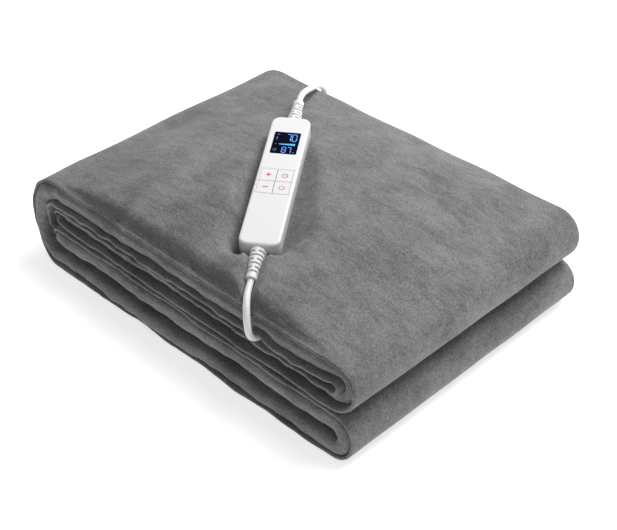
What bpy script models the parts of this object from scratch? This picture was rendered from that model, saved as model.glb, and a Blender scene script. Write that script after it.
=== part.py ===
"""Heated fleece throw, folded into a pile, with its hand controller, lead and mains cord.

Metres, +Z up. The pile stands on z = 0, centred on the origin. +X runs from the spine
fold to the two stacked folds, -Y is the front, where the layers show.
"""

import math

import bmesh
import bpy
from mathutils import Euler, Vector

# Clearances
GAP = 0.0003                    # between pieces that touch
SEAT_CLEARANCE = 0.0005         # between the fleece and the case that dents it

# Folded pile
PILE_LENGTH = 0.420             # along X
PILE_WIDTH = 0.288              # along Y
PLY_THICKNESS = 0.0089          # each stands for four layers of fleece
WIRE_SPACE = 0.0032             # between the two plies, for the heating wire
UPPER_FOLD_SPACE = 0.008        # between the two upper bundles, where the lead runs
MIDDLE_SPACE = 0.001            # between the upper and lower slabs
LOWER_FOLD_SPACE = 0.0015       # between the two lower bundles
UPPER_SLAB_SETBACK = 0.002      # the upper fold lies this far behind the lower one
SPINE_DEPTH = 0.034             # of the spine's centre line, along X
SPINE_FULLNESS = 2.3            # exponent of the spine's superellipse
FREE_END_SETBACK = 0.047        # from the spine's outside to the bundles' free ends
HEM_WIDTH = 0.006
CROWN_HEIGHT = 0.017            # how far the top bundle is lifted by what lies in the fold
CROWN_LEAN = 0.5                # how far the crown's top leans to the back
STRAIGHT_SPACING = 0.0435       # between the path's corners on its straight stretches
FOLD_STEPS = 10
SPINE_STEPS = 16
WIDTH_SPACING = 0.048           # between the path's copies across the pile
WIDTH_STEPS = round(PILE_WIDTH / WIDTH_SPACING)

# Heights of the four bundles' centre lines, and of the pile
BUNDLE = 2 * PLY_THICKNESS + WIRE_SPACE
BOTTOM_Z = BUNDLE / 2
LOWER_FLAP_Z = BOTTOM_Z + BUNDLE + LOWER_FOLD_SPACE
UPPER_FLAP_Z = LOWER_FLAP_Z + BUNDLE + MIDDLE_SPACE
TOP_Z = UPPER_FLAP_Z + BUNDLE + UPPER_FOLD_SPACE
PILE_HEIGHT = TOP_Z + BUNDLE / 2
FOLD_FLOOR_Z = UPPER_FLAP_Z + BUNDLE / 2

# Heating wire
WIRE_DIAMETER = 0.002
WIRE_MARGIN = 0.026             # from the pile's sides
WIRE_BEND = 0.008
WIRE_BEND_STEPS = 3
WIRE_SPACING = 0.075            # least distance between two runs, along the fold path

# Hand controller
CASE_LENGTH = 0.175
CASE_WIDTH = 0.036
CASE_HEIGHT = 0.018
CASE_WALL = 0.0018
CASE_CORNER = 0.0085
CASE_EDGE_ROUND = 0.0022
LOWER_EDGE_ROUND = 0.004
SPLIT_HEIGHT = 0.0085           # where the two shells meet
CASE_LIFT = 0.0094              # of its underside's middle above the pile's uncrowned top
CASE_PLACE = (-0.0012, -0.0268, PILE_HEIGHT + CASE_LIFT)
CASE_TURN = math.radians(35.7)
CASE_TILT = math.radians(6.5)
DENT_BEYOND_RELIEF = 0.022      # the fleece stays hollowed this far under the cord

WINDOW_WIDTH = 0.0236
WINDOW_LENGTH = 0.031
WINDOW_CENTRE = 0.0485          # along the case, from its middle
WINDOW_CORNER = 0.0012
WINDOW_LIP = 0.0012
WINDOW_LIP_THICKNESS = 0.0009
PANEL_THICKNESS = 0.003

KEY_WIDTH = 0.0140
KEY_LENGTH = 0.0160
KEY_GAP = 0.0006
KEY_BAY_CENTRE = -0.0057
KEY_CORNER = 0.0007
KEY_TRAVEL = 0.0006
KEY_FLANGE = 0.0006
KEY_FLANGE_THICKNESS = 0.0008
KEY_STEM_DIAMETER = 0.004
GROOVE_WIDTH = 0.0006
GROOVE_DEPTH = 0.0003

BOARD_LENGTH = 0.144
BOARD_WIDTH = 0.031
BOARD_THICKNESS = 0.0016
BOARD_HEIGHT = 0.0056
STANDOFF_DIAMETER = 0.005
STANDOFF_X = 0.011
STANDOFF_Y = (-0.060, 0.060)
TERMINAL_SIZE = (0.010, 0.006, 0.007)
TERMINAL_MARGIN = 0.0006        # from the board's end
RELAY_SIZE = (0.015, 0.019, 0.0080)
RELAY_PLACE = (-0.006, -0.038)
TRIAC_SIZE = (0.0100, 0.0150, 0.0045)
TRIAC_PLACE = (0.0092, -0.034)
FUSE_DIAMETER = 0.0052
FUSE_LENGTH = 0.020
FUSE_PLACE = (0.0115, 0.022)
CAPACITOR_DIAMETER = 0.0075
CAPACITOR_LENGTH = 0.013
CAPACITOR_PLACE = (-0.0100, 0.020)

SWITCH_SIZE = 0.006
SWITCH_HEIGHT = 0.0034
SWITCH_WELL_DEPTH = 0.0018
PLUNGER_DIAMETER = 0.003
PLUNGER_CLEARANCE = 0.0003
PLUNGER_HEIGHT = 0.0024

SCREW_X = 0.0112
SCREW_Y = 0.0765
SCREW_SHANK_DIAMETER = 0.0022
SCREW_HEAD_DIAMETER = 0.0042
SCREW_HEAD_HEIGHT = 0.0018
SCREW_HEAD_RECESS = 0.0032
SCREW_LENGTH = 0.0125
BOSS_DIAMETER = 0.0072

# Cords and their strain reliefs
CORD_DIAMETER = 0.006
CORD_POINT_SPACING = 2.2        # in cord diameters
RELIEF_LENGTH = 0.034
RELIEF_ROOT_DIAMETER = 0.0142
RELIEF_END_DIAMETER = 0.0100
RELIEF_COLLAR = 0.005
RELIEF_WAIST = 0.94             # diameter just before the collar, as a share of the collar's
RELIEF_NECK_DIAMETER = 0.0108
RELIEF_FLANGE_DIAMETER = 0.0132
RELIEF_FLANGE = 0.0025
RELIEF_SLOTS = 6
RELIEF_SLOT_WIDTH = 0.0019
RELIEF_CORE = 0.0026
INNER_LEAD_DIAMETER = 0.0046

# Plug in the fold
CONNECTOR_WIDTH = 0.022
CONNECTOR_HEIGHT = 0.0105
CONNECTOR_CORNER = 0.003
SOCKET_LENGTH = 0.026
COUPLER_LENGTH = 0.030
NOSE_LENGTH = 0.008
NOSE_WIDTH = 0.015
NOSE_HEIGHT = 0.006
CONTACT_DIAMETER = 0.0016
CONTACT_PITCH = 0.0045
CONTACT_LENGTH = 0.006
CONTACT_CLEARANCE = 0.0003
CONNECTOR_PLACE = (0.022, 0.010)
CONNECTOR_TURN = math.radians(25.0)
COUPLER_RELIEF_LENGTH = 0.022
COUPLER_RELIEF_ROOT = 0.0092
COUPLER_RELIEF_END = 0.0078
STEM_DIAMETER = 0.005
THERMOSTAT_SIZE = (0.010, 0.016, 0.0042)

# Mains plug and coil
COIL_OUTER_DIAMETER = 0.090
COIL_INNER_DIAMETER = 0.042
COIL_HEIGHT = 0.0125
COIL_STEPS = 40
COIL_SET_BACK = 0.0535          # of its middle behind the pile's back
COIL_CENTRE = (-0.052, PILE_WIDTH / 2 + COIL_SET_BACK)
COIL_ENTRY = math.radians(180)  # where round the coil the cord joins it
COIL_EXIT = math.radians(60)    # and where it leaves
PLUG_LENGTH = 0.036
PLUG_FRONT_WIDTH = 0.034
PLUG_BACK_WIDTH = 0.016
PLUG_THICKNESS = 0.0137
PLUG_CORNER = 0.004
PLUG_SHOULDER = 0.012           # from its front face to where it begins to narrow
PLUG_NARROW = 0.026             # and to where it is as narrow as its back
PLUG_SET_BACK = 0.043           # behind the pile's back
PLUG_PLACE = (0.104, PILE_WIDTH / 2 + PLUG_SET_BACK)    # middle of its front face
PIN_DIAMETER = 0.004
PIN_LENGTH = 0.019
PIN_SPACING = 0.0186
PIN_SOCKET_DEPTH = 0.008
PIN_TIP_ROUND = ((0.7, 0.3), (0.3, 0.0))    # shares of the pin's radius: width, and distance from its end
PLUG_RELIEF_LENGTH = 0.026
PLUG_RELIEF_ROOT = 0.0105
PLUG_RELIEF_END = 0.0085

ROUND_STEPS = 16
CURVE_STEPS = 24                # between two points of a cord's route
SHARP_ANGLE = math.radians(35)  # edges sharper than this are not shaded smooth

# Routes, chosen by hand. The ends come from the pieces that the cords meet.
MAINS_ROUTE = (
    (-0.0840, 0.0890, 0.1243),
    (-0.0985, 0.1120, 0.1140),
    (-0.1100, 0.1310, 0.1045),
    (-0.1170, 0.1450, 0.0985),
    (-0.1205, 0.1550, 0.0895),
    (-0.1210, 0.1585, 0.0750),
    (-0.1180, 0.1560, 0.0500),
    (-0.1110, 0.1545, 0.0270),
    (-0.1010, 0.1610, 0.0100),
)
LEAD_ROUTE = (
    (0.0800, -0.1365, 0.1005),
    (0.0880, -0.1475, 0.0970),
    (0.0960, -0.1550, 0.0890),
    (0.0995, -0.1565, 0.0790),
    (0.1005, -0.1525, 0.0715),
    (0.0995, -0.1420, 0.0692),
    (0.0950, -0.1150, 0.0692),
    (0.0830, -0.0850, 0.0697),
)
TAIL_ROUTE = (
    (0.0060, 0.2095, 0.0082),
    (0.0205, 0.1945, 0.0074),
)


# ---------------------------------------------------------------- scene and materials

def clear_scene():
    for old in list(bpy.data.objects):
        bpy.data.objects.remove(old, do_unlink=True)


def material(name, colour, roughness, metallic=0.0):
    made = bpy.data.materials.new(name)
    made.use_nodes = True
    shader = made.node_tree.nodes["Principled BSDF"]
    shader.inputs["Base Color"].default_value = (*colour, 1.0)
    shader.inputs["Roughness"].default_value = roughness
    shader.inputs["Metallic"].default_value = metallic
    made.diffuse_color = (*colour, 1.0)
    return made


def paint(thing, look):
    """Give the object its own material, named after it. A look is (colour, roughness, metallic)."""
    thing.data.materials.append(material(thing.name, *look))


FLEECE = ((0.20, 0.20, 0.205), 0.95, 0.0)
HEM = ((0.17, 0.17, 0.175), 0.9, 0.0)
WHITE_PLASTIC = ((0.86, 0.86, 0.86), 0.35, 0.0)
SIDE_PLASTIC = ((0.78, 0.78, 0.79), 0.4, 0.0)
DARK_WINDOW = ((0.006, 0.008, 0.02), 0.12, 0.0)
DISPLAY = ((0.01, 0.02, 0.06), 0.3, 0.0)
LIGHT_GUIDE = ((0.8, 0.85, 0.9), 0.3, 0.0)
BOARD = ((0.02, 0.16, 0.06), 0.45, 0.0)
BLACK_PLASTIC = ((0.02, 0.02, 0.02), 0.45, 0.0)
BLUE_PLASTIC = ((0.03, 0.10, 0.35), 0.4, 0.0)
GREEN_PLASTIC = ((0.05, 0.30, 0.12), 0.4, 0.0)
STEEL = ((0.55, 0.55, 0.56), 0.35, 1.0)
NICKEL = ((0.70, 0.68, 0.62), 0.25, 1.0)
CERAMIC = ((0.75, 0.72, 0.64), 0.5, 0.0)
CORD_SLEEVE = ((0.84, 0.84, 0.83), 0.5, 0.0)
WIRE_SLEEVE = ((0.60, 0.10, 0.08), 0.5, 0.0)


# ---------------------------------------------------------------- shape helpers

def add_object(name, mesh_data, look=None, parent=None):
    thing = bpy.data.objects.new(name, mesh_data)
    bpy.context.scene.collection.objects.link(thing)
    if look:
        paint(thing, look)
    if parent:
        thing.parent = parent
    return thing


def add_mesh(name, build, look=None, parent=None):
    """Make a mesh object from a finished bmesh."""
    bmesh.ops.recalc_face_normals(build, faces=build.faces)
    mesh = bpy.data.meshes.new(name)
    build.to_mesh(mesh)
    build.free()
    mesh.shade_smooth()
    mesh.set_sharp_from_angle(angle=SHARP_ANGLE)
    return add_object(name, mesh, look, parent)


def add_empty(name, place=(0, 0, 0), turn=(0, 0, 0), parent=None):
    thing = bpy.data.objects.new(name, None)
    bpy.context.scene.collection.objects.link(thing)
    thing.location = place
    thing.rotation_euler = turn
    if parent:
        thing.parent = parent
    return thing


def loft_into(build, rings):
    """Skin a closed body over rings of equal length; the first and last are capped."""
    made = [[build.verts.new(point) for point in ring] for ring in rings]
    count = len(rings[0])
    for lower, upper in zip(made, made[1:]):
        for i in range(count):
            j = (i + 1) % count
            build.faces.new((lower[i], lower[j], upper[j], upper[i]))
    build.faces.new(list(reversed(made[0])))
    build.faces.new(made[-1])


def loft(rings):
    build = bmesh.new()
    loft_into(build, rings)
    return build


def rounded_outline(width, length, radius, corner_steps=5):
    """Counter-clockwise outline of a rectangle with round corners, centred on zero."""
    points = []
    centres = ((1, 1, 0), (-1, 1, 90), (-1, -1, 180), (1, -1, 270))
    for side_x, side_y, start in centres:
        centre_x = side_x * (width / 2 - radius)
        centre_y = side_y * (length / 2 - radius)
        for step in range(corner_steps + 1):
            angle = math.radians(start + 90 * step / corner_steps)
            points.append((centre_x + radius * math.cos(angle), centre_y + radius * math.sin(angle)))
    return points


def circle_outline(radius, steps=ROUND_STEPS):
    turn = 2 * math.pi / steps
    return [(radius * math.cos(turn * i), radius * math.sin(turn * i)) for i in range(steps)]


def lift(outline, height, place=(0, 0)):
    return [(x + place[0], y + place[1], height) for x, y in outline]


def prism(outline, low, high, place=(0, 0)):
    return loft([lift(outline, low, place), lift(outline, high, place)])


def block(size, low, place=(0, 0)):
    """Box of (x, y, z) size standing on height low, centred on place."""
    half_x = size[0] / 2
    half_y = size[1] / 2
    outline = [(-half_x, -half_y), (half_x, -half_y), (half_x, half_y), (-half_x, half_y)]
    return prism(outline, low, low + size[2], place)


def merged(builds):
    """One bmesh that holds several closed bodies."""
    total = bmesh.new()
    for build in builds:
        mesh = bpy.data.meshes.new("piece")
        build.to_mesh(mesh)
        build.free()
        total.from_mesh(mesh)
        bpy.data.meshes.remove(mesh)
    return total


def turned_along_y(profile, steps=ROUND_STEPS):
    """Solid of revolution about Y from (radius, y) points."""
    return loft([[(x, y, z) for x, z in circle_outline(radius, steps)] for radius, y in profile])


def combine(target, tool_build, operation):
    """Boolean with a hidden tool object that shares the target's frame."""
    tool = add_mesh(f"{target.name}_{operation.lower()}_tool_{len(target.modifiers)}", tool_build)
    tool.parent = target.parent
    tool.location = target.location
    tool.rotation_euler = target.rotation_euler
    tool.hide_render = True
    tool.display_type = "WIRE"
    modifier = target.modifiers.new(f"{operation.lower()} {tool.name}", "BOOLEAN")
    modifier.operation = operation
    modifier.object = tool


def cut(target, tool_build):
    combine(target, tool_build, "DIFFERENCE")


def join(target, tool_build):
    combine(target, tool_build, "UNION")


def smooth_points(knots, spacing):
    """Evenly spaced points on a Catmull-Rom curve; the first and last knots only steer it."""
    fine = []
    for a, b, c, d in zip(knots, knots[1:], knots[2:], knots[3:]):
        for step in range(CURVE_STEPS):
            t = step / CURVE_STEPS
            fine.append(0.5 * (2 * b + (c - a) * t + (2 * a - 5 * b + 4 * c - d) * t ** 2
                               + (3 * b - a - 3 * c + d) * t ** 3))
    fine.append(knots[-2])
    total = sum((q - p).length for p, q in zip(fine, fine[1:]))
    count = max(2, round(total / spacing))
    points = [fine[0]]
    passed = 0.0
    for p, q in zip(fine, fine[1:]):
        length = (q - p).length
        while len(points) < count and passed + length >= total * len(points) / count:
            share = (total * len(points) / count - passed) / length
            points.append(p.lerp(q, share))
        passed += length
    points.append(fine[-1])
    return points


def tube(name, points, diameter, look, resolution=2):
    """A cord's solid: a curve object with a round bevel and filled caps."""
    curve = bpy.data.curves.new(name, "CURVE")
    curve.dimensions = "3D"
    curve.bevel_depth = diameter / 2
    curve.bevel_resolution = resolution
    curve.use_fill_caps = True
    line = curve.splines.new("POLY")
    line.points.add(len(points) - 1)
    for point, place in zip(line.points, points):
        point.co = (*place, 1.0)
    return add_object(name, curve, look)


# ---------------------------------------------------------------- folded blanket

UPPER_FOLD_RADIUS = (TOP_Z - UPPER_FLAP_Z) / 2
LOWER_FOLD_RADIUS = (LOWER_FLAP_Z - BOTTOM_Z) / 2
UPPER_FOLD_X = PILE_LENGTH / 2 - UPPER_SLAB_SETBACK - BUNDLE / 2 - UPPER_FOLD_RADIUS
LOWER_FOLD_X = PILE_LENGTH / 2 - BUNDLE / 2 - LOWER_FOLD_RADIUS
SPINE_X = -PILE_LENGTH / 2 + BUNDLE / 2 + SPINE_DEPTH
FREE_END_X = -PILE_LENGTH / 2 + FREE_END_SETBACK


def straight(start_x, end_x, height):
    steps = round(abs(end_x - start_x) / STRAIGHT_SPACING)
    return [(start_x + (end_x - start_x) * i / steps, height) for i in range(steps + 1)]


def fold(centre_x, low_z, high_z):
    """Half circle on the +X side, from low_z up to high_z, without its two ends."""
    radius = (high_z - low_z) / 2
    middle = (high_z + low_z) / 2
    angles = [-math.pi / 2 + math.pi * i / FOLD_STEPS for i in range(1, FOLD_STEPS)]
    return [(centre_x + radius * math.cos(a), middle + radius * math.sin(a)) for a in angles]


def spine():
    """Half superellipse on the -X side, from the top bundle down to the bottom one."""
    middle = (TOP_Z + BOTTOM_Z) / 2
    half = (TOP_Z - BOTTOM_Z) / 2
    power = 2 / SPINE_FULLNESS
    points = []
    for i in range(1, SPINE_STEPS):
        angle = math.pi / 2 + math.pi * i / SPINE_STEPS
        across = -abs(math.cos(angle)) ** power
        along = math.copysign(abs(math.sin(angle)) ** power, math.sin(angle))
        points.append((SPINE_X + SPINE_DEPTH * across, middle + half * along))
    return points


def fold_path():
    """The bundle's centre line in X and Z, from one free end to the other."""
    return (straight(FREE_END_X, UPPER_FOLD_X, UPPER_FLAP_Z)
            + fold(UPPER_FOLD_X, UPPER_FLAP_Z, TOP_Z)
            + straight(UPPER_FOLD_X, SPINE_X, TOP_Z)
            + spine()
            + straight(SPINE_X, LOWER_FOLD_X, BOTTOM_Z)
            + fold(LOWER_FOLD_X, BOTTOM_Z, LOWER_FLAP_Z)
            + straight(LOWER_FOLD_X, FREE_END_X, LOWER_FLAP_Z))


def path_normals(path):
    """Unit normals on the pile's outer side of the path, which always turns left."""
    normals = []
    for i in range(len(path)):
        before = Vector(path[max(i - 1, 0)])
        after = Vector(path[min(i + 1, len(path) - 1)])
        along = (after - before).normalized()
        normals.append(Vector((along.y, -along.x)))
    return normals


def crown(x, y, z):
    """How far the top bundle is lifted at a place."""
    if z < TOP_Z - BUNDLE / 2 - UPPER_FOLD_SPACE / 2:
        return 0.0
    middle = (SPINE_X + UPPER_FOLD_X) / 2
    across = (x - middle) / ((UPPER_FOLD_X - SPINE_X) / 2)
    along = y / (PILE_WIDTH / 2)
    if abs(across) >= 1.0 or abs(along) >= 1.0:
        return 0.0
    return CROWN_HEIGHT * (1 - across ** 2) * (1 - along ** 2) * (1 + CROWN_LEAN * along)


def faceted_crown(x, y, z):
    """The crown's lift as the plies' flat facets have it between two width stations."""
    step = PILE_WIDTH / WIDTH_STEPS
    share, whole = math.modf((y + PILE_WIDTH / 2) / step)
    low = whole * step - PILE_WIDTH / 2
    return (1 - share) * crown(x, low, z) + share * crown(x, low + step, z)


def width_stations():
    return [PILE_WIDTH * (i / WIDTH_STEPS - 0.5) for i in range(WIDTH_STEPS + 1)]


def ply(name, inner_offset, outer_offset):
    """One fleece ply: the strip between two offsets of the fold path, as wide as the pile."""
    path = fold_path()
    normals = path_normals(path)
    outer = [Vector(p) + n * outer_offset for p, n in zip(path, normals)]
    inner = [Vector(p) + n * inner_offset for p, n in zip(path, normals)]
    outline = outer + list(reversed(inner))
    rings = [[(p.x, y, p.y + crown(p.x, y, p.y)) for p in outline] for y in width_stations()]
    return add_mesh(name, loft(rings), FLEECE)


def dent_for_case(target):
    """Hollow the fleece where the case and its strain reliefs press into it."""
    place = add_empty("case_dent_place", CASE_PLACE, (CASE_TILT, 0, CASE_TURN))
    spare = SEAT_CLEARANCE
    outline = rounded_outline(CASE_WIDTH + 2 * spare, CASE_LENGTH + 2 * spare, CASE_CORNER + spare)
    reach = CASE_LENGTH / 2 + RELIEF_LENGTH + DENT_BEYOND_RELIEF
    radius = RELIEF_ROOT_DIAMETER / 2 + spare
    reliefs = turned_along_y([(radius, -reach), (radius, reach)])
    bmesh.ops.translate(reliefs, vec=(0, 0, SPLIT_HEIGHT), verts=reliefs.verts)
    for label, tool_build in (("case", prism(outline, -spare, CASE_HEIGHT)), ("relief", reliefs)):
        tool = add_mesh(f"dent_{label}_tool", tool_build, parent=place)
        tool.hide_render = True
        tool.display_type = "WIRE"
        modifier = target.modifiers.new(f"dent {label}", "BOOLEAN")
        modifier.operation = "DIFFERENCE"
        modifier.object = tool


def add_fleece():
    outer = ply("fleece_outer_ply", WIRE_SPACE / 2, BUNDLE / 2)
    dent_for_case(outer)
    inner = ply("fleece_inner_ply", -BUNDLE / 2, -WIRE_SPACE / 2)
    stem = prism(circle_outline(STEM_DIAMETER / 2 + SEAT_CLEARANCE), UPPER_FLAP_Z,
                 FOLD_FLOOR_Z + BUNDLE / 4, stem_place())
    cut(inner, stem)


def add_hem(name, height):
    """Binding that closes the two plies at a free end."""
    outline = rounded_outline(HEM_WIDTH, BUNDLE, HEM_WIDTH / 3, 2)
    x = FREE_END_X - GAP - HEM_WIDTH / 2
    half = PILE_WIDTH / 2
    rings = [[(x + a, y, height + b) for a, b in outline] for y in (-half, half)]
    add_mesh(name, loft(rings), HEM)


def path_lengths(path):
    """Length along the path to each of its corners."""
    lengths = [0.0]
    for before, after in zip(path, path[1:]):
        lengths.append(lengths[-1] + math.dist(before, after))
    return lengths


def on_path(path, lengths, along, y):
    """World place at a length along the path, on the bundle's centre line."""
    index = max(i for i, length in enumerate(lengths[:-1]) if length <= along)
    share = (along - lengths[index]) / (lengths[index + 1] - lengths[index])
    ends = [Vector((x, y, z + faceted_crown(x, y, z))) for x, z in path[index:index + 2]]
    return ends[0].lerp(ends[1], share)


def wire_runs(lengths):
    """Lengths along the path, at its corners, where the wire crosses the pile."""
    runs = [lengths[1]]
    for length in lengths[:-1]:
        if length - runs[-1] >= WIRE_SPACING:
            runs.append(length)
    return runs


def wire_points():
    """The heating wire zigzags across the pile between the plies, along the whole fold path."""
    path = fold_path()
    lengths = path_lengths(path)
    edge = PILE_WIDTH / 2 - WIRE_MARGIN
    stations = [y for y in width_stations() if abs(y) < edge - WIRE_BEND]
    runs = wire_runs(lengths)
    points = []
    side = 1
    for here, after in zip(runs, runs[1:] + [None]):
        ordered = stations if side > 0 else list(reversed(stations))
        points += [on_path(path, lengths, here, y) for y in ordered]
        if after:
            flat = wire_bend(lengths, here, after, edge)
            points += [on_path(path, lengths, along, side * y) for along, y in flat]
        side = -side
    return points


def wire_bend(lengths, here, after, edge):
    """Flat (along, y) points from one run to the next at the pile's side, with round corners."""
    corner = []
    for step in range(1, WIRE_BEND_STEPS + 1):
        angle = math.pi / 2 * step / WIRE_BEND_STEPS
        corner.append((WIRE_BEND * (1 - math.cos(angle)), edge - WIRE_BEND * (1 - math.sin(angle))))
    between = [(length, edge) for length in lengths
               if here + WIRE_BEND + WIRE_DIAMETER < length < after - WIRE_BEND - WIRE_DIAMETER]
    return ([(here + along, y) for along, y in corner] + between
            + [(after - along, y) for along, y in reversed(corner)])


# ---------------------------------------------------------------- hand controller

FACE_UNDERSIDE = CASE_HEIGHT - CASE_WALL
BOARD_TOP = BOARD_HEIGHT + BOARD_THICKNESS
INNER_LENGTH = CASE_LENGTH - 2 * CASE_WALL
TERMINAL_Y = BOARD_LENGTH / 2 - TERMINAL_MARGIN - TERMINAL_SIZE[1] / 2


def case_outline(inset):
    return rounded_outline(CASE_WIDTH - 2 * inset, CASE_LENGTH - 2 * inset, CASE_CORNER - inset)


def edge_round_rings(radius, flat_height, outward):
    """Rings that round an outer edge; outward is +1 toward the face, -1 toward the underside."""
    rings = []
    for step in range(5):
        angle = math.pi / 2 * step / 4
        inset = radius * (1 - math.cos(angle))
        rings.append(lift(case_outline(inset), flat_height - outward * radius * (1 - math.sin(angle))))
    return rings


def boss_places():
    return [(side_x * SCREW_X, side_y * SCREW_Y) for side_y in (-1, 1) for side_x in (-1, 1)]


def key_places():
    """Middle of each key on the face, by name."""
    step_x = (KEY_WIDTH + KEY_GAP) / 2
    step_y = (KEY_LENGTH + KEY_GAP) / 2
    return {
        "plus": (-step_x, KEY_BAY_CENTRE + step_y),
        "timer": (step_x, KEY_BAY_CENTRE + step_y),
        "minus": (-step_x, KEY_BAY_CENTRE - step_y),
        "power": (step_x, KEY_BAY_CENTRE - step_y),
    }


def relief_notches():
    """Round openings at both ends of the case for the strain reliefs' necks."""
    radius = RELIEF_NECK_DIAMETER / 2 + GAP
    reach = CASE_LENGTH / 2 + CASE_WALL
    near = turned_along_y([(radius, -reach), (radius, -INNER_LENGTH / 2 + CASE_WALL)])
    far = turned_along_y([(radius, INNER_LENGTH / 2 - CASE_WALL), (radius, reach)])
    notches = merged([near, far])
    bmesh.ops.translate(notches, vec=(0, 0, SPLIT_HEIGHT), verts=notches.verts)
    return notches


def face_grooves():
    """Fine lines across the face, in line with the gaps around the keys."""
    row = KEY_LENGTH + KEY_GAP
    low = CASE_HEIGHT - GROOVE_DEPTH
    size = (CASE_WIDTH + CASE_WALL, GROOVE_WIDTH, 2 * GROOVE_DEPTH)
    return merged([block(size, low, (0, KEY_BAY_CENTRE + n * row)) for n in (-1, 0, 1)])


def add_top_shell(parent):
    rings = [lift(case_outline(CASE_WALL), FACE_UNDERSIDE),
             lift(case_outline(CASE_WALL), SPLIT_HEIGHT + GAP),
             lift(case_outline(0.0), SPLIT_HEIGHT + GAP)]
    rings += edge_round_rings(CASE_EDGE_ROUND, CASE_HEIGHT, 1)
    shell = add_mesh("controller_top_shell", loft(rings), WHITE_PLASTIC, parent)
    bosses = [prism(circle_outline(BOSS_DIAMETER / 2), SPLIT_HEIGHT + GAP,
                    FACE_UNDERSIDE + CASE_WALL / 2, place) for place in boss_places()]
    join(shell, merged(bosses))
    bore = SCREW_SHANK_DIAMETER / 2 + GAP
    tip = SCREW_HEAD_RECESS + SCREW_LENGTH - SCREW_HEAD_HEIGHT
    bores = [prism(circle_outline(bore), SPLIT_HEIGHT - CASE_WALL, tip + GAP, place)
             for place in boss_places()]
    cut(shell, merged(bores))
    cut(shell, relief_notches())
    window = rounded_outline(WINDOW_WIDTH + 2 * GAP, WINDOW_LENGTH + 2 * GAP, WINDOW_CORNER + GAP)
    cut(shell, prism(window, FACE_UNDERSIDE - CASE_WALL, CASE_HEIGHT + CASE_WALL, (0, WINDOW_CENTRE)))
    bay = rounded_outline(2 * KEY_WIDTH + KEY_GAP + 2 * GAP, 2 * KEY_LENGTH + KEY_GAP + 2 * GAP,
                          KEY_CORNER + GAP)
    cut(shell, prism(bay, FACE_UNDERSIDE - CASE_WALL, CASE_HEIGHT + CASE_WALL, (0, KEY_BAY_CENTRE)))
    cut(shell, face_grooves())


def add_bottom_shell(parent):
    rings = [lift(case_outline(CASE_WALL), CASE_WALL),
             lift(case_outline(CASE_WALL), SPLIT_HEIGHT),
             lift(case_outline(0.0), SPLIT_HEIGHT)]
    rings += edge_round_rings(LOWER_EDGE_ROUND, 0.0, -1)
    shell = add_mesh("controller_bottom_shell", loft(rings), SIDE_PLASTIC, parent)
    posts = [prism(circle_outline(BOSS_DIAMETER / 2), CASE_WALL / 2, SPLIT_HEIGHT, place)
             for place in boss_places()]
    posts += [prism(circle_outline(STANDOFF_DIAMETER / 2), CASE_WALL / 2, BOARD_HEIGHT - GAP, (x, y))
              for x in (-STANDOFF_X, STANDOFF_X) for y in STANDOFF_Y]
    join(shell, merged(posts))
    shank_bore = SCREW_SHANK_DIAMETER / 2 + GAP
    head_bore = SCREW_HEAD_DIAMETER / 2 + GAP
    seat = SCREW_HEAD_RECESS + GAP
    bores = [loft([lift(circle_outline(head_bore), -CASE_WALL, place),
                   lift(circle_outline(head_bore), seat, place),
                   lift(circle_outline(shank_bore), seat, place),
                   lift(circle_outline(shank_bore), SPLIT_HEIGHT + CASE_WALL, place)])
             for place in boss_places()]
    cut(shell, merged(bores))
    cut(shell, relief_notches())


def add_screws(parent):
    head = SCREW_HEAD_DIAMETER / 2
    shank = SCREW_SHANK_DIAMETER / 2
    low = SCREW_HEAD_RECESS - SCREW_HEAD_HEIGHT
    for number, place in enumerate(boss_places(), 1):
        rings = [lift(circle_outline(head), low, place),
                 lift(circle_outline(head), SCREW_HEAD_RECESS, place),
                 lift(circle_outline(shank), SCREW_HEAD_RECESS, place),
                 lift(circle_outline(shank), low + SCREW_LENGTH, place)]
        add_mesh(f"case_screw_{number}", loft(rings), STEEL, parent)


def add_display(parent):
    lens = rounded_outline(WINDOW_WIDTH, WINDOW_LENGTH, WINDOW_CORNER)
    lip = rounded_outline(WINDOW_WIDTH + 2 * WINDOW_LIP, WINDOW_LENGTH + 2 * WINDOW_LIP, WINDOW_CORNER)
    lip_top = FACE_UNDERSIDE - GAP
    lip_low = lip_top - WINDOW_LIP_THICKNESS
    place = (0, WINDOW_CENTRE)
    rings = [lift(lip, lip_low, place), lift(lip, lip_top, place),
             lift(lens, lip_top, place), lift(lens, CASE_HEIGHT, place)]
    add_mesh("display_window", loft(rings), DARK_WINDOW, parent)
    panel_low = lip_low - GAP - PANEL_THICKNESS
    size = (WINDOW_WIDTH + WINDOW_LIP, WINDOW_LENGTH + WINDOW_LIP, PANEL_THICKNESS)
    add_mesh("display_panel", block(size, panel_low, place), DISPLAY, parent)
    guide_low = BOARD_TOP + GAP
    size = (size[0], size[1], panel_low - GAP - guide_low)
    add_mesh("display_light_guide", block(size, guide_low, place), LIGHT_GUIDE, parent)


def key_build(side):
    """Key cap with a retaining flange on its outer side and a stem below, centred on zero."""
    half = KEY_WIDTH / 2
    flange_top = FACE_UNDERSIDE - GAP
    flange_low = flange_top - KEY_FLANGE_THICKNESS
    outline = [(-half, flange_low), (half + KEY_FLANGE + GAP, flange_low),
               (half + KEY_FLANGE + GAP, flange_top), (half, flange_top),
               (half, CASE_HEIGHT), (-half, CASE_HEIGHT)]
    ends = (-KEY_LENGTH / 2, KEY_LENGTH / 2)
    rings = [[(side * x, y, z) for x, z in outline] for y in ends]
    return loft(rings), flange_low


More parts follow.
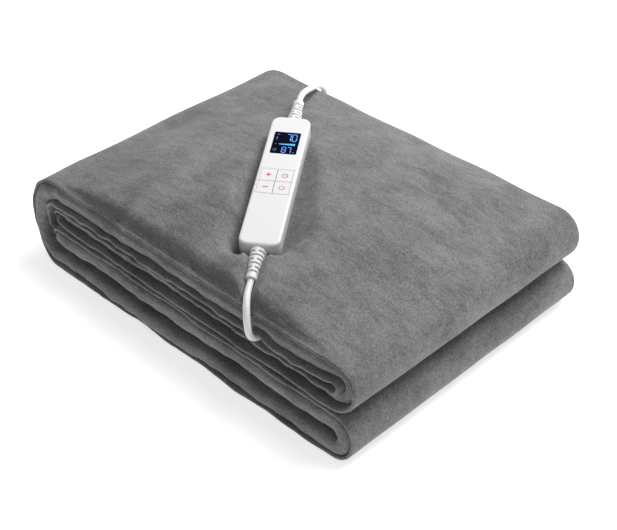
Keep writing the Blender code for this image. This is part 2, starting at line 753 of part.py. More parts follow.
def add_keys(parent):
    """Each key has its own empty on its axis of travel; the plunger below rides with it."""
    well_floor = BOARD_TOP + GAP + SWITCH_HEIGHT - SWITCH_WELL_DEPTH
    plunger_low = well_floor + KEY_TRAVEL + GAP
    plunger_top = plunger_low + PLUNGER_HEIGHT
    for name, place in key_places().items():
        axis = add_empty(f"key_axis_{name}", (*place, 0), parent=parent)
        cap, flange_low = key_build(math.copysign(1, place[0]))
        key = add_mesh(f"key_{name}", cap, WHITE_PLASTIC, axis)
        join(key, prism(circle_outline(KEY_STEM_DIAMETER / 2), plunger_top + GAP,
                        flange_low + KEY_FLANGE_THICKNESS / 2))
        switch = add_mesh(f"switch_body_{name}",
                          block((SWITCH_SIZE, SWITCH_SIZE, SWITCH_HEIGHT), BOARD_TOP + GAP, place),
                          BLACK_PLASTIC, parent)
        well = PLUNGER_DIAMETER / 2 + PLUNGER_CLEARANCE
        cut(switch, prism(circle_outline(well), well_floor,
                          BOARD_TOP + SWITCH_HEIGHT + CASE_WALL, place))
        add_mesh(f"switch_plunger_{name}",
                 prism(circle_outline(PLUNGER_DIAMETER / 2), plunger_low, plunger_top),
                 STEEL, axis)


def add_board(parent):
    size = (BOARD_WIDTH, BOARD_LENGTH, BOARD_THICKNESS)
    add_mesh("circuit_board", block(size, BOARD_HEIGHT), BOARD, parent)
    low = BOARD_TOP + GAP
    boxes = (
        ("power_relay", RELAY_SIZE, RELAY_PLACE, BLUE_PLASTIC),
        ("heater_triac", TRIAC_SIZE, TRIAC_PLACE, BLACK_PLASTIC),
        ("terminal_block_mains", TERMINAL_SIZE, (0, TERMINAL_Y), GREEN_PLASTIC),
        ("terminal_block_heater", TERMINAL_SIZE, (0, -TERMINAL_Y), GREEN_PLASTIC),
    )
    for name, size, place, look in boxes:
        add_mesh(name, block(size, low, place), look, parent)
    rounds = (
        ("mains_fuse", FUSE_DIAMETER, FUSE_LENGTH, FUSE_PLACE, CERAMIC),
        ("smoothing_capacitor", CAPACITOR_DIAMETER, CAPACITOR_LENGTH, CAPACITOR_PLACE, BLUE_PLASTIC),
    )
    for name, diameter, length, place, look in rounds:
        radius = diameter / 2
        body = turned_along_y([(radius, -length / 2), (radius, length / 2)])
        centre = (place[0], place[1], low + radius)
        bmesh.ops.translate(body, vec=centre, verts=body.verts)
        add_mesh(name, body, look, parent)


# ---------------------------------------------------------------- strain reliefs and cords

def slotted_relief(start_y, length, root, end, collar):
    """Slot cutters for a tapered relief along +Y: side notches and top slots by turns."""
    pitch = (length - collar) / (RELIEF_SLOTS + 0.5)
    widest = max(root, end)
    tools = []
    for number in range(RELIEF_SLOTS):
        y = start_y + pitch * (number + 1)
        for side in (-1, 1):
            size = [widest, RELIEF_SLOT_WIDTH, widest]
            place = [0.0, 0.0]
            axis = number % 2
            place[axis] = side * (widest + RELIEF_CORE) / 2
            centre_z = place[1]
            tools.append(block(size, centre_z - widest / 2, (place[0], y)))
    return merged(tools)


def relief_build(length, root, end, collar, inner_profile=()):
    """Tapered relief that starts at y = 0, with whatever lies inside the case before it."""
    taper_end = length - collar
    profile = [*inner_profile, (root / 2, 0.0), (root / 2, collar / 2),
               (end / 2 * RELIEF_WAIST, taper_end), (end / 2, taper_end), (end / 2, length)]
    return turned_along_y(profile)


def add_case_relief(name, parent, direction):
    """Strain relief at one end of the case; direction is +1 at the far end, -1 at the near end."""
    place = add_empty(f"{name}_place", (0, direction * (CASE_LENGTH / 2 + GAP), SPLIT_HEIGHT),
                      (0, 0, 0 if direction > 0 else math.pi), parent)
    flange_out = -(CASE_WALL + 2 * GAP)
    flange_in = flange_out - RELIEF_FLANGE
    inner = [(RELIEF_FLANGE_DIAMETER / 2, flange_in), (RELIEF_FLANGE_DIAMETER / 2, flange_out),
             (RELIEF_NECK_DIAMETER / 2, flange_out), (RELIEF_NECK_DIAMETER / 2, 0.0)]
    build = relief_build(RELIEF_LENGTH, RELIEF_ROOT_DIAMETER, RELIEF_END_DIAMETER,
                         RELIEF_COLLAR, inner)
    relief = add_mesh(name, build, CORD_SLEEVE, place)
    cut(relief, slotted_relief(0.0, RELIEF_LENGTH, RELIEF_ROOT_DIAMETER, RELIEF_END_DIAMETER,
                               RELIEF_COLLAR))


def add_inner_leads(parent):
    """Short leads inside the case, from each strain relief to its terminal block."""
    outer = CASE_LENGTH / 2 - CASE_WALL - RELIEF_FLANGE - 2 * GAP
    inner = TERMINAL_Y + TERMINAL_SIZE[1] / 2 + GAP
    radius = INNER_LEAD_DIAMETER / 2
    for name, side in (("mains_inner_lead", 1), ("heater_inner_lead", -1)):
        ends = sorted((side * inner, side * outer))
        lead = turned_along_y([(radius, ends[0]), (radius, ends[1])])
        bmesh.ops.translate(lead, vec=(0, 0, BOARD_TOP + GAP + radius), verts=lead.verts)
        add_mesh(name, lead, CORD_SLEEVE, parent)


def case_frame():
    return Euler((CASE_TILT, 0, CASE_TURN)).to_matrix()


def relief_end(direction, beyond=0.0):
    """World place on the axis of a case relief, a length beyond its outer face."""
    reach = CASE_LENGTH / 2 + GAP + RELIEF_LENGTH + beyond
    return Vector(CASE_PLACE) + case_frame() @ Vector((0, direction * reach, SPLIT_HEIGHT))


def cord_points(start, start_direction, route, end, end_direction):
    """Smooth centre line that leaves and arrives square to the pieces it meets."""
    lead_in = CORD_DIAMETER
    knots = [start, start + start_direction * lead_in]
    knots += [Vector(point) for point in route]
    knots += [end - end_direction * lead_in, end]
    return [start, *smooth_points(knots, CORD_POINT_SPACING * CORD_DIAMETER), end]


def coil_tangent(angle, height):
    """Place and heading where the clockwise outer turn, followed straight on, is clear of the ring."""
    outer = COIL_OUTER_DIAMETER / 2
    turn_radius = outer - CORD_DIAMETER / 2
    heading = Vector((math.sin(angle), -math.cos(angle), 0))
    touch = Vector((*COIL_CENTRE, height)) + turn_radius * Vector((math.cos(angle), math.sin(angle), 0))
    clear = math.sqrt((outer + GAP) ** 2 - (outer - CORD_DIAMETER) ** 2)
    return touch, heading, clear


def add_mains_cord():
    along = case_frame() @ Vector((0, 1, 0))
    start = relief_end(1, GAP)
    touch, heading, clear = coil_tangent(COIL_ENTRY, CORD_DIAMETER / 2 + 2 * GAP)
    points = cord_points(start, along, MAINS_ROUTE, touch - heading * clear, heading)
    tube("mains_cord", points, CORD_DIAMETER, CORD_SLEEVE)


def add_coil():
    outer = COIL_OUTER_DIAMETER / 2
    inner = COIL_INNER_DIAMETER / 2
    middle = (outer + inner) / 2
    section = rounded_outline(outer - inner, COIL_HEIGHT, CORD_DIAMETER / 2, 3)
    build = bmesh.new()
    loops = []
    for i in range(COIL_STEPS):
        angle = 2 * math.pi * i / COIL_STEPS
        loops.append([build.verts.new((COIL_CENTRE[0] + (middle + a) * math.cos(angle),
                                       COIL_CENTRE[1] + (middle + a) * math.sin(angle),
                                       GAP + COIL_HEIGHT / 2 + b)) for a, b in section])
    for loop, following in zip(loops, loops[1:] + loops[:1]):
        for i in range(len(section)):
            j = (i + 1) % len(section)
            build.faces.new((loop[i], loop[j], following[j], following[i]))
    add_mesh("mains_cord_coil", build, CORD_SLEEVE)


def add_plug():
    """Flat two-pin plug, lying behind the pile with its pins toward +X."""
    height = GAP + PLUG_THICKNESS / 2
    frame = add_empty("plug_place", (*PLUG_PLACE, height), (0, 0, -math.pi / 2))
    stations = ((0.0, PLUG_FRONT_WIDTH), (-PLUG_SHOULDER, PLUG_FRONT_WIDTH),
                (-PLUG_NARROW, PLUG_BACK_WIDTH), (-PLUG_LENGTH, PLUG_BACK_WIDTH))
    rings = []
    for y, width in stations:
        outline = rounded_outline(width, PLUG_THICKNESS, PLUG_CORNER, 3)
        rings.append([(x, y, z) for x, z in outline])
    body = add_mesh("plug_body", loft(rings), WHITE_PLASTIC, frame)
    radius = PIN_DIAMETER / 2
    wells = []
    for number, side in enumerate((-1, 1), 1):
        x = side * PIN_SPACING / 2
        well = turned_along_y([(radius + GAP, -PIN_SOCKET_DEPTH), (radius + GAP, CASE_WALL)])
        bmesh.ops.translate(well, vec=(x, 0, 0), verts=well.verts)
        wells.append(well)
        tip = [(radius * width, PIN_LENGTH - radius * back) for width, back in PIN_TIP_ROUND]
        pin = turned_along_y([(radius, GAP - PIN_SOCKET_DEPTH), (radius, PIN_LENGTH - radius), *tip])
        bmesh.ops.translate(pin, vec=(x, 0, 0), verts=pin.verts)
        add_mesh(f"plug_pin_{number}", pin, NICKEL, frame)
    cut(body, merged(wells))
    back = add_empty("plug_relief_place", (0, -PLUG_LENGTH - GAP, 0), (0, 0, math.pi), frame)
    relief = add_mesh("plug_strain_relief",
                      relief_build(PLUG_RELIEF_LENGTH, PLUG_RELIEF_ROOT, PLUG_RELIEF_END, RELIEF_COLLAR),
                      WHITE_PLASTIC, back)
    cut(relief, slotted_relief(0.0, PLUG_RELIEF_LENGTH, PLUG_RELIEF_ROOT, PLUG_RELIEF_END,
                               RELIEF_COLLAR))


def add_tail():
    """The last stretch of mains cord, from the coil's upper layer to the plug's strain relief."""
    touch, heading, clear = coil_tangent(COIL_EXIT, GAP + COIL_HEIGHT - CORD_DIAMETER / 2)
    reach = PLUG_LENGTH + PLUG_RELIEF_LENGTH + 2 * GAP
    end = Vector((PLUG_PLACE[0] - reach, PLUG_PLACE[1], GAP + PLUG_THICKNESS / 2))
    points = cord_points(touch + heading * clear, heading, TAIL_ROUTE, end, Vector((1, 0, 0)))
    tube("mains_cord_tail", points, CORD_DIAMETER, CORD_SLEEVE)


# ---------------------------------------------------------------- connector in the fold

def stem_place():
    """Where the socket's stem goes down through the inner ply."""
    turned = Euler((0, 0, CONNECTOR_TURN)).to_matrix() @ Vector((0, SOCKET_LENGTH / 2, 0))
    return (CONNECTOR_PLACE[0] + turned.x, CONNECTOR_PLACE[1] + turned.y)


def add_connector():
    """Socket fixed on the blanket and the plug in it; the plug side points to the front (-Y)."""
    frame = add_empty("connector_place", (*CONNECTOR_PLACE, FOLD_FLOOR_Z + GAP), (0, 0, CONNECTOR_TURN))
    middle = CONNECTOR_HEIGHT / 2
    outline = rounded_outline(CONNECTOR_WIDTH, CONNECTOR_HEIGHT, CONNECTOR_CORNER, 3)
    nose = rounded_outline(NOSE_WIDTH, NOSE_HEIGHT, CONNECTOR_CORNER / 2, 3)
    recess = rounded_outline(NOSE_WIDTH + 2 * GAP, NOSE_HEIGHT + 2 * GAP, CONNECTOR_CORNER / 2 + GAP, 3)

    def ring(shape, y):
        return [(x, y, z + middle) for x, z in shape]

    socket = add_mesh("connector_socket", loft([ring(outline, 0), ring(outline, SOCKET_LENGTH)]),
                      BLACK_PLASTIC, frame)
    cut(socket, loft([ring(recess, -CASE_WALL), ring(recess, NOSE_LENGTH + GAP)]))
    stem_low = UPPER_FLAP_Z + WIRE_DIAMETER / 2 + GAP - FOLD_FLOOR_Z - GAP
    join(socket, prism(circle_outline(STEM_DIAMETER / 2), stem_low, middle / 2, (0, SOCKET_LENGTH / 2)))
    plug = add_mesh("connector_plug",
                    loft([ring(outline, -COUPLER_LENGTH), ring(outline, -GAP), ring(nose, -GAP),
                          ring(nose, NOSE_LENGTH)]),
                    BLACK_PLASTIC, frame)
    holes = []
    for number in range(3):
        x = (number - 1) * CONTACT_PITCH
        radius = CONTACT_DIAMETER / 2
        low = NOSE_LENGTH - CONTACT_LENGTH
        hole = turned_along_y([(radius + CONTACT_CLEARANCE, low - GAP),
                               (radius + CONTACT_CLEARANCE, NOSE_LENGTH + CASE_WALL)], 10)
        bmesh.ops.translate(hole, vec=(x, 0, middle), verts=hole.verts)
        holes.append(hole)
        contact = turned_along_y([(radius, low), (radius, NOSE_LENGTH)], 10)
        bmesh.ops.translate(contact, vec=(x, 0, middle), verts=contact.verts)
        add_mesh(f"connector_contact_{number + 1}", contact, NICKEL, frame)
    cut(plug, merged(holes))
    back = add_empty("connector_relief_place", (0, -COUPLER_LENGTH - GAP, middle), (0, 0, math.pi), frame)
    add_mesh("connector_strain_relief",
             relief_build(COUPLER_RELIEF_LENGTH, COUPLER_RELIEF_ROOT, COUPLER_RELIEF_END, RELIEF_COLLAR),
             BLACK_PLASTIC, back)
    sensor_y = SOCKET_LENGTH + GAP + THERMOSTAT_SIZE[1] / 2
    add_mesh("overheat_thermostat", block(THERMOSTAT_SIZE, 0.0, (0, sensor_y)), CERAMIC, frame)


def add_blanket_lead():
    along = case_frame() @ Vector((0, -1, 0))
    start = relief_end(-1, GAP)
    turn = Euler((0, 0, CONNECTOR_TURN)).to_matrix()
    reach = COUPLER_LENGTH + COUPLER_RELIEF_LENGTH + 2 * GAP
    middle = FOLD_FLOOR_Z + GAP + CONNECTOR_HEIGHT / 2
    end = Vector((*CONNECTOR_PLACE, middle)) + turn @ Vector((0, -reach, 0))
    points = cord_points(start, along, LEAD_ROUTE, end, turn @ Vector((0, 1, 0)))
    tube("blanket_lead", points, CORD_DIAMETER, CORD_SLEEVE)


def main():
    clear_scene()
    add_fleece()
    add_hem("upper_hem_binding", UPPER_FLAP_Z)
    add_hem("lower_hem_binding", LOWER_FLAP_Z)
    tube("heating_wire", wire_points(), WIRE_DIAMETER, WIRE_SLEEVE)
    case = add_empty("controller_place", CASE_PLACE, (CASE_TILT, 0, CASE_TURN))
    add_bottom_shell(case)
    add_top_shell(case)
    add_screws(case)
    add_display(case)
    add_keys(case)
    add_board(case)
    add_case_relief("mains_strain_relief", case, 1)
    add_case_relief("lead_strain_relief", case, -1)
    add_inner_leads(case)
    add_connector()
    add_blanket_lead()
    add_mains_cord()
    add_coil()
    add_tail()
    add_plug()


main()
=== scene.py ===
"""Looks of the folded heated throw: fleece, cords, controller finish, camera and light.

Metres, +Z up. +X runs from the spine fold to the two stacked folds, -Y is the front,
where the layers show. Sizes and routes repeat those of the CAD part, except for the
first point of the lead's route and for the front edges, which follow their own tables.
"""

import math

import bmesh
import bpy
import numpy as np
from mathutils import Euler, Matrix, Vector


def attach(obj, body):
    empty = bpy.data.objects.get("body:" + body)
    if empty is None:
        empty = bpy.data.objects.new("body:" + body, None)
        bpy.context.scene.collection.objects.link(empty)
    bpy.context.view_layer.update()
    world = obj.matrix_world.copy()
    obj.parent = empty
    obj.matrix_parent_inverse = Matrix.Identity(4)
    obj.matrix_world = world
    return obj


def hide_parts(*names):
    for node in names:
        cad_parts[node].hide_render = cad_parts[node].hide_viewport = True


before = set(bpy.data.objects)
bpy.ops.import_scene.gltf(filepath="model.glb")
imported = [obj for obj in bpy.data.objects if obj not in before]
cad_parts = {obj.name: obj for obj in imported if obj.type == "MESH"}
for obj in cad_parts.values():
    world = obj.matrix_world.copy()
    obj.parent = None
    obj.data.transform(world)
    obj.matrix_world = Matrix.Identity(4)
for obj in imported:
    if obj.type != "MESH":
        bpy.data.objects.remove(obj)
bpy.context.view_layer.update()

# Camera
CAMERA_PLACE = (0.6974, -0.6915, 0.7499)
CAMERA_AZIMUTH = math.radians(44.6)
CAMERA_ELEVATION = math.radians(37.0)
CAMERA_LENS = 76.26
SENSOR_WIDTH = 36.0
CAMERA_SHIFT = -0.005           # share of the picture's width

# Folded pile, as in the CAD part
PILE_LENGTH = 0.420
PILE_WIDTH = 0.288
BUNDLE = 0.021
BOTTOM_Z = 0.0105
LOWER_FLAP_Z = 0.033
UPPER_FLAP_Z = 0.055
TOP_Z = 0.084
UPPER_SLAB_SETBACK = 0.002
UPPER_FOLD_X = PILE_LENGTH / 2 - UPPER_SLAB_SETBACK - BUNDLE / 2 - (TOP_Z - UPPER_FLAP_Z) / 2
LOWER_FOLD_X = PILE_LENGTH / 2 - BUNDLE / 2 - (LOWER_FLAP_Z - BOTTOM_Z) / 2
SPINE_DEPTH = 0.034
SPINE_X = -PILE_LENGTH / 2 + BUNDLE / 2 + SPINE_DEPTH
SPINE_FULLNESS = 2.3            # 2 is an ellipse, more is squarer
CROWN_HEIGHT = 0.017
CROWN_LEAN = 0.5
BUNDLE_TOP_LIMIT = 0.0695       # the crown lifts only what lies above this height

# Hand controller, as in the CAD part
CASE_PLACE = (-0.0012, -0.0268, 0.1039)
CASE_TURN = math.radians(35.7)
CASE_TILT = math.radians(6.5)
CASE_LENGTH = 0.175
CASE_WIDTH = 0.036
CASE_HEIGHT = 0.018
SPLIT_HEIGHT = 0.0085
RELIEF_END_REACH = 0.1218
RELIEF_ROOT_RADIUS = 0.0071
RELIEF_END_RADIUS = 0.0050
GAP = 0.0003

# Cords, as in the CAD part, but for their points' closer spacing and for the first point of
# the lead's route, which lies 2.7 mm from the CAD's
CORD_DIAMETER = 0.006
CORD_POINT_SPACING = 1.7 * CORD_DIAMETER
COIL_CENTRE = (-0.052, 0.1975)
COIL_RADIUS = 0.042             # of the outermost turn's centre line
COIL_PITCH = 0.006
COIL_LOW_Z = 0.0036
COIL_HIGH_Z = 0.0098
COIL_ENTRY = math.radians(180)
COIL_EXIT = math.radians(60)
COIL_POINTS_PER_TURN = 24
COIL_DRAW_IN = 0.0035           # of the innermost turn, where it climbs to the upper layer
COIL_RISE_SPARE = 0.02          # share of a turn that the climb starts early and ends late
COIL_STEP_START = 5 / 6         # where in its turn the cord starts to move to the next one
PLUG_CORD_END = (0.0414, 0.1870, 0.00715)
MAINS_ROUTE = (
    (-0.0840, 0.0890, 0.1243),
    (-0.0985, 0.1120, 0.1140),
    (-0.1100, 0.1310, 0.1045),
    (-0.1170, 0.1450, 0.0985),
    (-0.1205, 0.1550, 0.0895),
    (-0.1210, 0.1585, 0.0750),
    (-0.1180, 0.1560, 0.0500),
    (-0.1110, 0.1545, 0.0270),
    (-0.1010, 0.1610, 0.0100),
)
LEAD_ROUTE = (
    (0.0785, -0.1372, 0.0984),
    (0.0880, -0.1475, 0.0970),
    (0.0960, -0.1550, 0.0890),
    (0.0995, -0.1565, 0.0790),
    (0.1005, -0.1525, 0.0715),
    (0.0995, -0.1420, 0.0692),
    (0.0950, -0.1150, 0.0692),
    (0.0830, -0.0850, 0.0697),
)
TAIL_ROUTE = (
    (0.0060, 0.2095, 0.0082),
    (0.0205, 0.1945, 0.0074),
)
LEAD_END = (0.0442, -0.0377, 0.0711)
LEAD_END_TURN = math.radians(25.0)


# ---------------------------------------------------------------- helpers

CURVE_STEPS = 24                # between two knots of a route


def smoothstep(low, high, value):
    """0 below low, 1 above high, and a soft rise between them."""
    share = np.clip((value - low) / (high - low), 0.0, 1.0)
    return share * share * (3 - 2 * share)


def link(thing):
    bpy.context.scene.collection.objects.link(thing)
    return thing


def catmull_rom(knots, spacing):
    """Evenly spaced points on a smooth curve; the first and last knots only steer it."""
    fine = []
    for a, b, c, d in zip(knots, knots[1:], knots[2:], knots[3:]):
        for step in range(CURVE_STEPS):
            t = step / CURVE_STEPS
            fine.append(0.5 * (2 * b + (c - a) * t + (2 * a - 5 * b + 4 * c - d) * t ** 2
                               + (3 * b - a - 3 * c + d) * t ** 3))
    fine.append(knots[-2])
    total = sum((q - p).length for p, q in zip(fine, fine[1:]))
    count = max(2, round(total / spacing))
    points = [fine[0]]
    passed = 0.0
    for p, q in zip(fine, fine[1:]):
        length = (q - p).length
        while len(points) < count and passed + length >= total * len(points) / count:
            points.append(p.lerp(q, (total * len(points) / count - passed) / length))
        passed += length
    points.append(fine[-1])
    return points


def cord_points(start, start_direction, route, end, end_direction):
    """Smooth centre line that leaves and arrives square to the pieces it meets."""
    knots = [start, start + start_direction * CORD_DIAMETER]
    knots += [Vector(point) for point in route]
    knots += [end - end_direction * CORD_DIAMETER, end]
    return [start, *catmull_rom(knots, CORD_POINT_SPACING), end]


def cord_object(name, points, look):
    curve = bpy.data.curves.new(name, "CURVE")
    curve.dimensions = "3D"
    curve.bevel_depth = CORD_DIAMETER / 2
    curve.bevel_resolution = 4
    curve.resolution_u = 5
    curve.use_fill_caps = True
    line = curve.splines.new("BEZIER")
    line.bezier_points.add(len(points) - 1)
    for point, place in zip(line.bezier_points, points):
        point.co = place
        point.handle_left_type = "AUTO"
        point.handle_right_type = "AUTO"
    thing = link(bpy.data.objects.new(name, curve))
    thing.data.materials.append(look)
    return thing


CASE_MATRIX = Matrix.Translation(CASE_PLACE) @ Euler((CASE_TILT, 0, CASE_TURN)).to_matrix().to_4x4()


def case_point(x, y, z):
    """Where a point of the controller's own frame lies on the pile."""
    return CASE_MATRIX @ Vector((x, y, z))


# ---------------------------------------------------------------- materials

def new_material(name):
    """A material, its node tree and its shader."""
    made = bpy.data.materials.new(name)
    made.use_nodes = True
    return made, made.node_tree, made.node_tree.nodes["Principled BSDF"]


def noise_node(tree, coordinates, scale, detail, roughness=0.5, distortion=0.0):
    node = tree.nodes.new("ShaderNodeTexNoise")
    node.inputs["Scale"].default_value = scale
    node.inputs["Detail"].default_value = detail
    node.inputs["Roughness"].default_value = roughness
    node.inputs["Distortion"].default_value = distortion
    tree.links.new(coordinates, node.inputs["Vector"])
    return node.outputs["Fac"]


def object_coordinates(tree, stretch=(1, 1, 1), turn=(0, 0, 0)):
    source = tree.nodes.new("ShaderNodeTexCoord")
    mapping = tree.nodes.new("ShaderNodeMapping")
    mapping.inputs["Scale"].default_value = stretch
    mapping.inputs["Rotation"].default_value = turn
    tree.links.new(source.outputs["Object"], mapping.inputs["Vector"])
    return mapping.outputs["Vector"]


def remap(tree, value, from_low, from_high, to_low, to_high):
    node = tree.nodes.new("ShaderNodeMapRange")
    node.inputs["From Min"].default_value = from_low
    node.inputs["From Max"].default_value = from_high
    node.inputs["To Min"].default_value = to_low
    node.inputs["To Max"].default_value = to_high
    tree.links.new(value, node.inputs["Value"])
    return node.outputs["Result"]


def math_node(tree, operation, first, second):
    node = tree.nodes.new("ShaderNodeMath")
    node.operation = operation
    for socket, value in zip(node.inputs, (first, second)):
        if isinstance(value, (int, float)):
            socket.default_value = value
        else:
            tree.links.new(value, socket)
    return node.outputs["Value"]


def two_colours(tree, factor, first, second):
    node = tree.nodes.new("ShaderNodeMix")
    node.data_type = "RGBA"
    node.inputs["A"].default_value = (*first, 1)
    node.inputs["B"].default_value = (*second, 1)
    tree.links.new(factor, node.inputs["Factor"])
    return node.outputs["Result"]


def bump_node(tree, height, strength, distance, below=None):
    node = tree.nodes.new("ShaderNodeBump")
    node.inputs["Strength"].default_value = strength
    node.inputs["Distance"].default_value = distance
    tree.links.new(height, node.inputs["Height"])
    if below:
        tree.links.new(below, node.inputs["Normal"])
    return node.outputs["Normal"]


def separate(tree, vector):
    node = tree.nodes.new("ShaderNodeSeparateXYZ")
    tree.links.new(vector, node.inputs["Vector"])
    return node.outputs


# Painted shade on the top bundle's front: how dark, and where each share of it sets in
SLOPE_SHADE = 0.45
SLOPE_TILT = (-0.22, -0.75)     # Y of the surface's normal
SLOPE_UPWARD = (-0.06, 0.14)    # Z of the surface's normal
SLOPE_HEIGHT = (0.070, 0.077)   # metres above the floor


def front_slopes(tree, place):
    """Painted shade, by direction and height, of what slopes forward at the pile's top."""
    normal = separate(tree, tree.nodes.new("ShaderNodeNewGeometry").outputs["Normal"])
    tilted = remap(tree, normal["Y"], *SLOPE_TILT, 0.0, SLOPE_SHADE)
    upward = remap(tree, normal["Z"], *SLOPE_UPWARD, 0.0, 1.0)
    high = remap(tree, separate(tree, place)["Z"], *SLOPE_HEIGHT, 0.0, 1.0)
    return math_node(tree, "MULTIPLY", math_node(tree, "MULTIPLY", tilted, upward), high)


NOISE_LOW = 0.3                 # most of a noise's values lie between these two
NOISE_HIGH = 0.7
TUFTS = (620, 4, 0.75)          # noise scale, detail, roughness and, further on, distortion
STREAKS = (150, 4, 0.62, 0.6)
PATCHES = (20, 2, 0.5, 0.8)
TUFT_SHADE = 0.52               # how far each noise shifts the nap between its two colours
STREAK_SHADE = 0.20
PATCH_SHADE = 0.20
STREAK_BUMP = (0.45, 0.0012)    # strength and distance
TUFT_BUMP = (0.8, 0.0006)
BRUSH_STRETCH = (0.35, 1.0, 1.0)
BRUSH_TURN = (0, 0, math.radians(-38))
NAP_DARK = (0.095, 0.095, 0.097)
NAP_PALE = (0.265, 0.265, 0.268)


def fleece_material():
    """Short plush nap: fine mottling, brushed streaks, soft patches, a pale sheen; painted shade on front
    slopes.
    """
    made, tree, shader = new_material("fleece")
    plain = object_coordinates(tree)
    brushed = object_coordinates(tree, BRUSH_STRETCH, BRUSH_TURN)
    tufts = noise_node(tree, plain, *TUFTS)
    streaks = noise_node(tree, brushed, *STREAKS)
    patches = noise_node(tree, plain, *PATCHES)
    shade = math_node(tree, "ADD", remap(tree, tufts, NOISE_LOW, NOISE_HIGH, -TUFT_SHADE, TUFT_SHADE),
                      remap(tree, streaks, NOISE_LOW, NOISE_HIGH, -STREAK_SHADE, STREAK_SHADE))
    shade = math_node(tree, "ADD", shade,
                      remap(tree, patches, NOISE_LOW, NOISE_HIGH, -PATCH_SHADE, PATCH_SHADE))
    # painted shade: the nap's tone is made darker where the top bundle slopes forward
    factor = math_node(tree, "SUBTRACT", math_node(tree, "ADD", shade, 0.5), front_slopes(tree, plain))
    colour = two_colours(tree, factor, NAP_DARK, NAP_PALE)
    tree.links.new(colour, shader.inputs["Base Color"])
    shader.inputs["Roughness"].default_value = 0.95
    shader.inputs["Specular IOR Level"].default_value = 0.15
    shader.inputs["Sheen Weight"].default_value = 0.42
    shader.inputs["Sheen Roughness"].default_value = 0.35
    shader.inputs["Sheen Tint"].default_value = (0.9, 0.9, 0.92, 1)
    coarse = bump_node(tree, streaks, *STREAK_BUMP)
    fine = bump_node(tree, tufts, *TUFT_BUMP, coarse)
    tree.links.new(fine, shader.inputs["Normal"])
    return made


def moulded_material(name, colour, roughness, grain_scale=900, metallic=0.0, contrast=0.012,
                     gloss=0.5):
    """Moulded or turned piece: faint mottling of colour and roughness, fine grain."""
    made, tree, shader = new_material(name)
    plain = object_coordinates(tree)
    cloud = noise_node(tree, plain, 45, 3)
    grain = noise_node(tree, plain, grain_scale, 2)
    darker = tuple(channel * (1 - contrast) for channel in colour)
    tree.links.new(two_colours(tree, cloud, darker, colour), shader.inputs["Base Color"])
    tree.links.new(remap(tree, cloud, NOISE_LOW, NOISE_HIGH, roughness - 0.015, roughness + 0.015),
                   shader.inputs["Roughness"])
    shader.inputs["Metallic"].default_value = metallic
    shader.inputs["Specular IOR Level"].default_value = gloss
    tree.links.new(bump_node(tree, grain, 0.08, 0.0002), shader.inputs["Normal"])
    return made


def glowing_material(name, colour, strength):
    """Lit part of the display."""
    made, tree, shader = new_material(name)
    plain = object_coordinates(tree)
    cloud = noise_node(tree, plain, 500, 2)
    darker = tuple(channel * 0.8 for channel in colour)
    tint = two_colours(tree, cloud, darker, colour)
    tree.links.new(tint, shader.inputs["Base Color"])
    tree.links.new(tint, shader.inputs["Emission Color"])
    shader.inputs["Emission Strength"].default_value = strength
    shader.inputs["Roughness"].default_value = 0.4
    return made


FLEECE = fleece_material()
CORD_SLEEVE = moulded_material("cord_sleeve", (0.76, 0.76, 0.76), 0.42)
WIRE_SLEEVE = moulded_material("wire_sleeve", (0.62, 0.60, 0.56), 0.50, contrast=0.05)
WHITE_PLASTIC = moulded_material("white_plastic", (0.77, 0.77, 0.77), 0.30)
PALE_PLASTIC = moulded_material("pale_plastic", (0.60, 0.60, 0.61), 0.34)
RELIEF_PLASTIC = moulded_material("relief_plastic", (0.74, 0.74, 0.74), 0.45)
BLACK_PLASTIC = moulded_material("black_plastic", (0.020, 0.020, 0.021), 0.45, contrast=0.2)
BLUE_PLASTIC = moulded_material("blue_plastic", (0.03, 0.12, 0.42), 0.40, contrast=0.1)
GREEN_PLASTIC = moulded_material("green_plastic", (0.04, 0.28, 0.10), 0.42, contrast=0.1)
BOARD = moulded_material("board", (0.015, 0.13, 0.05), 0.38, 400, contrast=0.3)
CERAMIC = moulded_material("ceramic", (0.72, 0.69, 0.62), 0.28, contrast=0.06)
LIGHT_GUIDE = moulded_material("light_guide", (0.70, 0.76, 0.84), 0.18, contrast=0.03)
STEEL = moulded_material("steel", (0.50, 0.50, 0.51), 0.34, 700, metallic=1.0, contrast=0.1)
NICKEL = moulded_material("nickel", (0.62, 0.60, 0.56), 0.24, 700, metallic=1.0, contrast=0.08)
DARK_WINDOW = moulded_material("dark_window", (0.001, 0.002, 0.010), 0.15, contrast=0.3, gloss=0.06)
DARK_PANEL = moulded_material("dark_panel", (0.006, 0.012, 0.04), 0.35, contrast=0.2)
RED_PRINT = moulded_material("red_print", (0.55, 0.075, 0.085), 0.5, contrast=0.05)
BLUE_GLOW = glowing_material("blue_glow", (0.10, 0.32, 0.85), 0.9)
BRIGHT_BLUE_GLOW = glowing_material("bright_blue_glow", (0.06, 0.38, 0.95), 1.0)
SOFT_BLUE_GLOW = glowing_material("soft_blue_glow", (0.05, 0.16, 0.45), 0.5)


# ---------------------------------------------------------------- camera, light, floor

def add_camera():
    """Camera whose direction is set by its azimuth and its elevation."""
    data = bpy.data.cameras.new("camera")
    data.sensor_width = SENSOR_WIDTH
    data.lens = CAMERA_LENS
    data.shift_x = CAMERA_SHIFT
    camera = link(bpy.data.objects.new("camera", data))
    across = math.cos(CAMERA_ELEVATION)
    back = Vector((math.sin(CAMERA_AZIMUTH) * across, -math.cos(CAMERA_AZIMUTH) * across,
                   math.sin(CAMERA_ELEVATION)))
    camera.location = CAMERA_PLACE
    camera.rotation_euler = back.to_track_quat("Z", "Y").to_euler()
    bpy.context.scene.camera = camera


